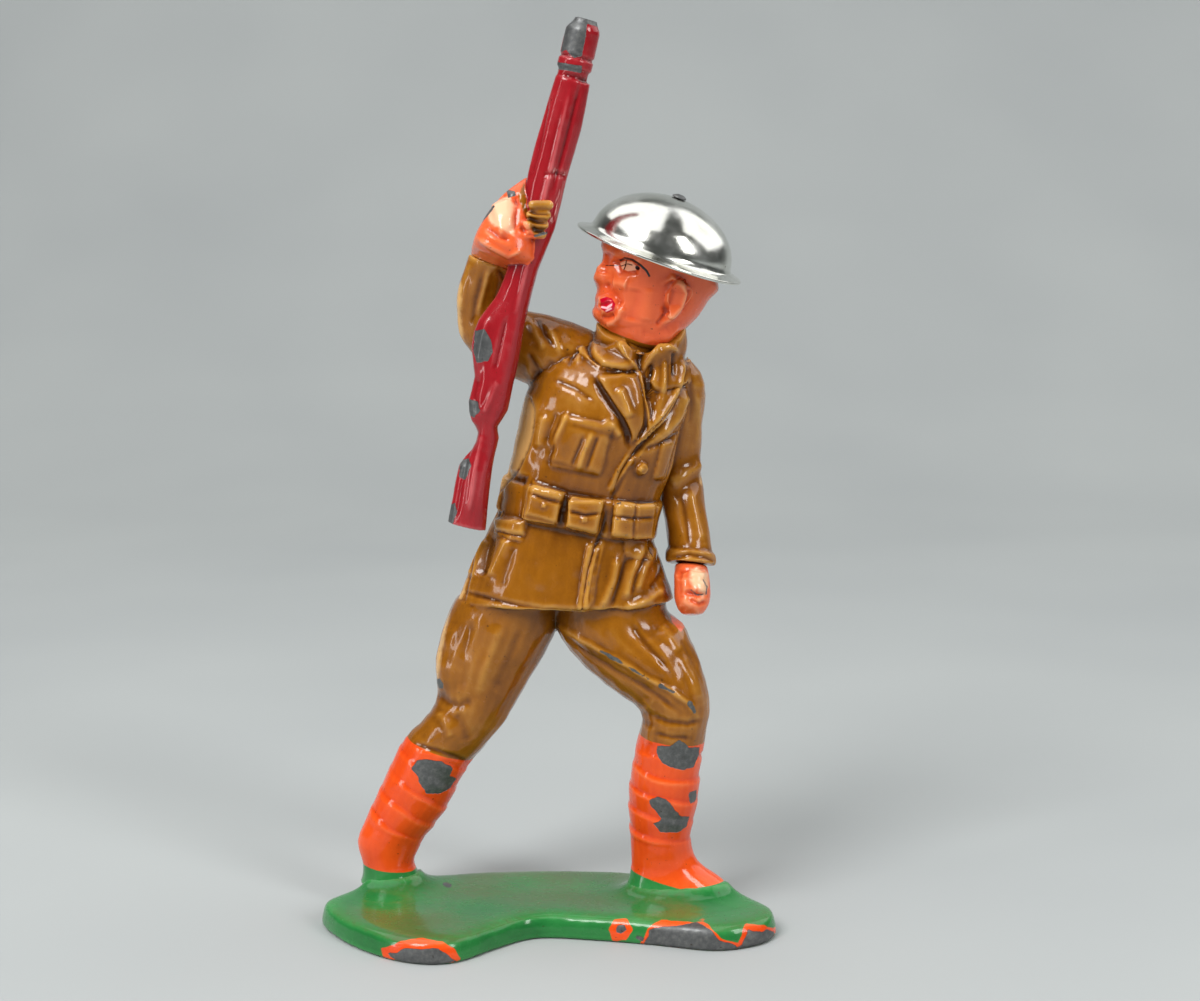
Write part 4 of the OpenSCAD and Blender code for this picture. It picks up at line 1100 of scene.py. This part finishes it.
divide(rifle, rifle_zones, {
    "flesh_enamel": enamel("hand_enamel", "crimson", rifle_over),
    "crimson_enamel": enamel("crimson_enamel", "crimson", rifle_over),
    "bare_lead": enamel("muzzle_enamel", "crimson", rifle_over)})
fist_over = [("cream_wear_and_highlight", srgb(238, 190, 150), 0.35)]
divide(fist, fist_zones, {"flesh_enamel": enamel("fist_enamel", "flesh", fist_over)})
ground_over = [("dust", srgb(78, 100, 54), 0.4), ("orange", "orange", 0.06)]
divide(ground, ground_zones, {
    "green_enamel": enamel("green_enamel", "green", ground_over, 0.22, (0.25, 0.5, 0.5))})

# The helmet, spun from tin about the axis of its joint, in millimetres: radius of the bowl, tin, reach and
# drop of the brim, height and radius of the hole, then half width, half height and top of the rolled edge
JOINT = frame["joints"][0]
PLACE, AXIS = np.array(JOINT["pos_m"]) / MM, np.array(JOINT["axis"])
BOWL_R, TIN, BRIM, DROP, HIGH, HOLE = 7.004, 0.35, 1.75, 0.55, 5.9, 0.55
ROLL_R, ROLL_H, ROLL_TOP = 0.12, 0.15, DROP * 0.42


def lathe(profile, sides):
    """Turned form about the helmet's axis, from pairs of radius and height."""
    axis = AXIS / np.linalg.norm(AXIS)
    u = np.cross(axis, [0, 1, 0])
    u /= np.linalg.norm(u)
    v = np.cross(axis, u)
    turn = np.arange(sides) * 2 * math.pi / sides
    spokes = np.cos(turn)[:, None] * u + np.sin(turn)[:, None] * v
    rings = [PLACE + h * axis + r * spokes for r, h in profile]
    faces = []
    m = len(profile)
    for j in range(m):
        for i in range(sides):
            k, q = (i + 1) % sides, (j + 1) % m
            faces.append([j * sides + i, j * sides + k, q * sides + k, q * sides + i])
    return np.vstack(rings), faces


def bowl(out, steps=48):
    """Profile of the bowl from the hole down to the brim."""
    first = math.asin(HOLE / (BOWL_R + out))
    return [((BOWL_R + out) * math.sin(a), DROP + (HIGH - DROP - TIN + out) * math.cos(a))
            for a in np.linspace(first, math.radians(84), steps)]


flare = [(BOWL_R + TIN + 0.1, DROP + 0.14), (BOWL_R + TIN + 0.26, DROP - 0.02),
         (BOWL_R + 0.62 * BRIM, DROP * 0.68), (BOWL_R + 0.8 * BRIM, DROP * 0.53),
         (BOWL_R + BRIM - ROLL_R, ROLL_TOP)]
edge = [(BOWL_R + BRIM - ROLL_R + ROLL_R * math.cos(a), ROLL_TOP - ROLL_H + ROLL_H * math.sin(a))
        for a in np.linspace(1.3, -1.3, 7)]
under = [(BOWL_R + BRIM - 0.14, ROLL_TOP - 2 * ROLL_H), (BOWL_R + 0.62 * BRIM, DROP * 0.6 - 0.32),
         (BOWL_R + 0.2, DROP - 0.28)]
co, faces = lathe(bowl(TIN) + flare + edge + under + bowl(0.0)[::-1], 192)
make_piece("helmet_tin", co, faces, bright_tin("bright_tin"), "helmet", "helmet", "bright_tin")

# The stud, hammered over the tin: height of the crown, gaps under and over the tin, radius of the shank,
# and radius and height of the hammered end
CROWN, CROWN_GAP, TIN_GAP, STUD_R, PEEN_R, PEEN_H = 5.25, 0.3, 0.05, 0.5, 0.75, 0.4
shank = CROWN + CROWN_GAP + TIN + TIN_GAP
dome = [(PEEN_R * math.sin(a), shank + PEEN_H * math.cos(a)) for a in np.linspace(0.02, 1.45, 9)]
co, faces = lathe([(0.0005, CROWN), (STUD_R, CROWN), (STUD_R, shank), (0.71, shank)] + dome[::-1], 40)
off = (co - PLACE) @ AXIS
co = co - AXIS * (0.12 * np.abs(waves(co, 3.0, 31)) * (off > shank + 0.1))[:, None]
faces = [f[::-1] for f in faces]
make_piece("helmet_stud_peened", co, faces, bare_metal("bare_lead"), "figure", "helmet_stud", "bare_lead")

# Stage: a pale sweep for the floor and the back, in metres
FRONT, BACK, SIDE, BEND, UP = -1.2, 0.25, 1.6, 0.3, 1.4
sweep = [(FRONT, 0.0), (BACK, 0.0)]
sweep += [(BACK + BEND * math.sin(a), BEND - BEND * math.cos(a)) for a in np.linspace(0.1, math.pi / 2, 20)]
sweep += [(BACK + BEND, UP)]
mesh = bpy.data.meshes.new("floor")
mesh.from_pydata([(x, y, z) for x in (-SIDE, SIDE) for y, z in sweep], [],
                 [[i, len(sweep) + i, len(sweep) + i + 1, i + 1] for i in range(len(sweep) - 1)])
mesh.polygons.foreach_set("use_smooth", [True] * len(mesh.polygons))
floor = bpy.data.objects.new("floor", mesh)
bpy.context.scene.collection.objects.link(floor)
g = Graph("floor_paper")
grain = g.noise(g.place((0.01, 0.01, 0.01)), 1.0, 2)
g.set(Base_Color=g.ramp(grain, shades((0.3, 0.7), (164, 168, 168), (172, 176, 175))), Roughness=0.7)
mesh.materials.append(g.mat)


def lamp(name, place, aim, size, power):
    """A soft box at a place, aimed at another, in metres and watts."""
    light = bpy.data.lights.new(name, "AREA")
    light.shape, light.size, light.size_y, light.energy = "RECTANGLE", size[0], size[1], power
    ob = bpy.data.objects.new(name, light)
    ob.location = place
    ob.rotation_euler = (Vector(aim) - Vector(place)).to_track_quat("-Z", "Y").to_euler()
    bpy.context.scene.collection.objects.link(ob)


CHEST = (0, 0, 0.045)
lamp("key_box", (-0.24, -0.32, 0.42), CHEST, (0.22, 0.26), 2.6)
lamp("top_box", (-0.16, 0.02, 0.6), CHEST, (0.8, 0.7), 2.5)
lamp("right_box", (0.46, 0.18, 0.44), CHEST, (0.6, 0.5), 1.4)
lamp("left_box", (-0.42, -0.22, 0.12), (0, 0, 0.03), (0.05, 0.24), 0.32)
lamp("front_box", (0.36, -0.3, 0.3), CHEST, (0.12, 0.3), 1.3)

world = bpy.data.worlds.new("studio")
world.use_nodes = True
world.node_tree.nodes["Background"].inputs[0].default_value = srgb(176, 180, 180)
world.node_tree.nodes["Background"].inputs[1].default_value = 0.2
bpy.context.scene.world = world

SENSOR = 36
view = bpy.data.cameras.new("photo_camera")
view.lens, view.sensor_width, view.clip_start, view.clip_end = FOCAL / WIDE * SENSOR, SENSOR, 0.01, 10
camera = bpy.data.objects.new("photo_camera", view)
camera.location = EYE * MM
camera.rotation_euler = (math.pi / 2 - PITCH, 0, 0)
bpy.context.scene.collection.objects.link(camera)
bpy.context.scene.camera = camera
bpy.context.scene.view_settings.view_transform = "Standard"
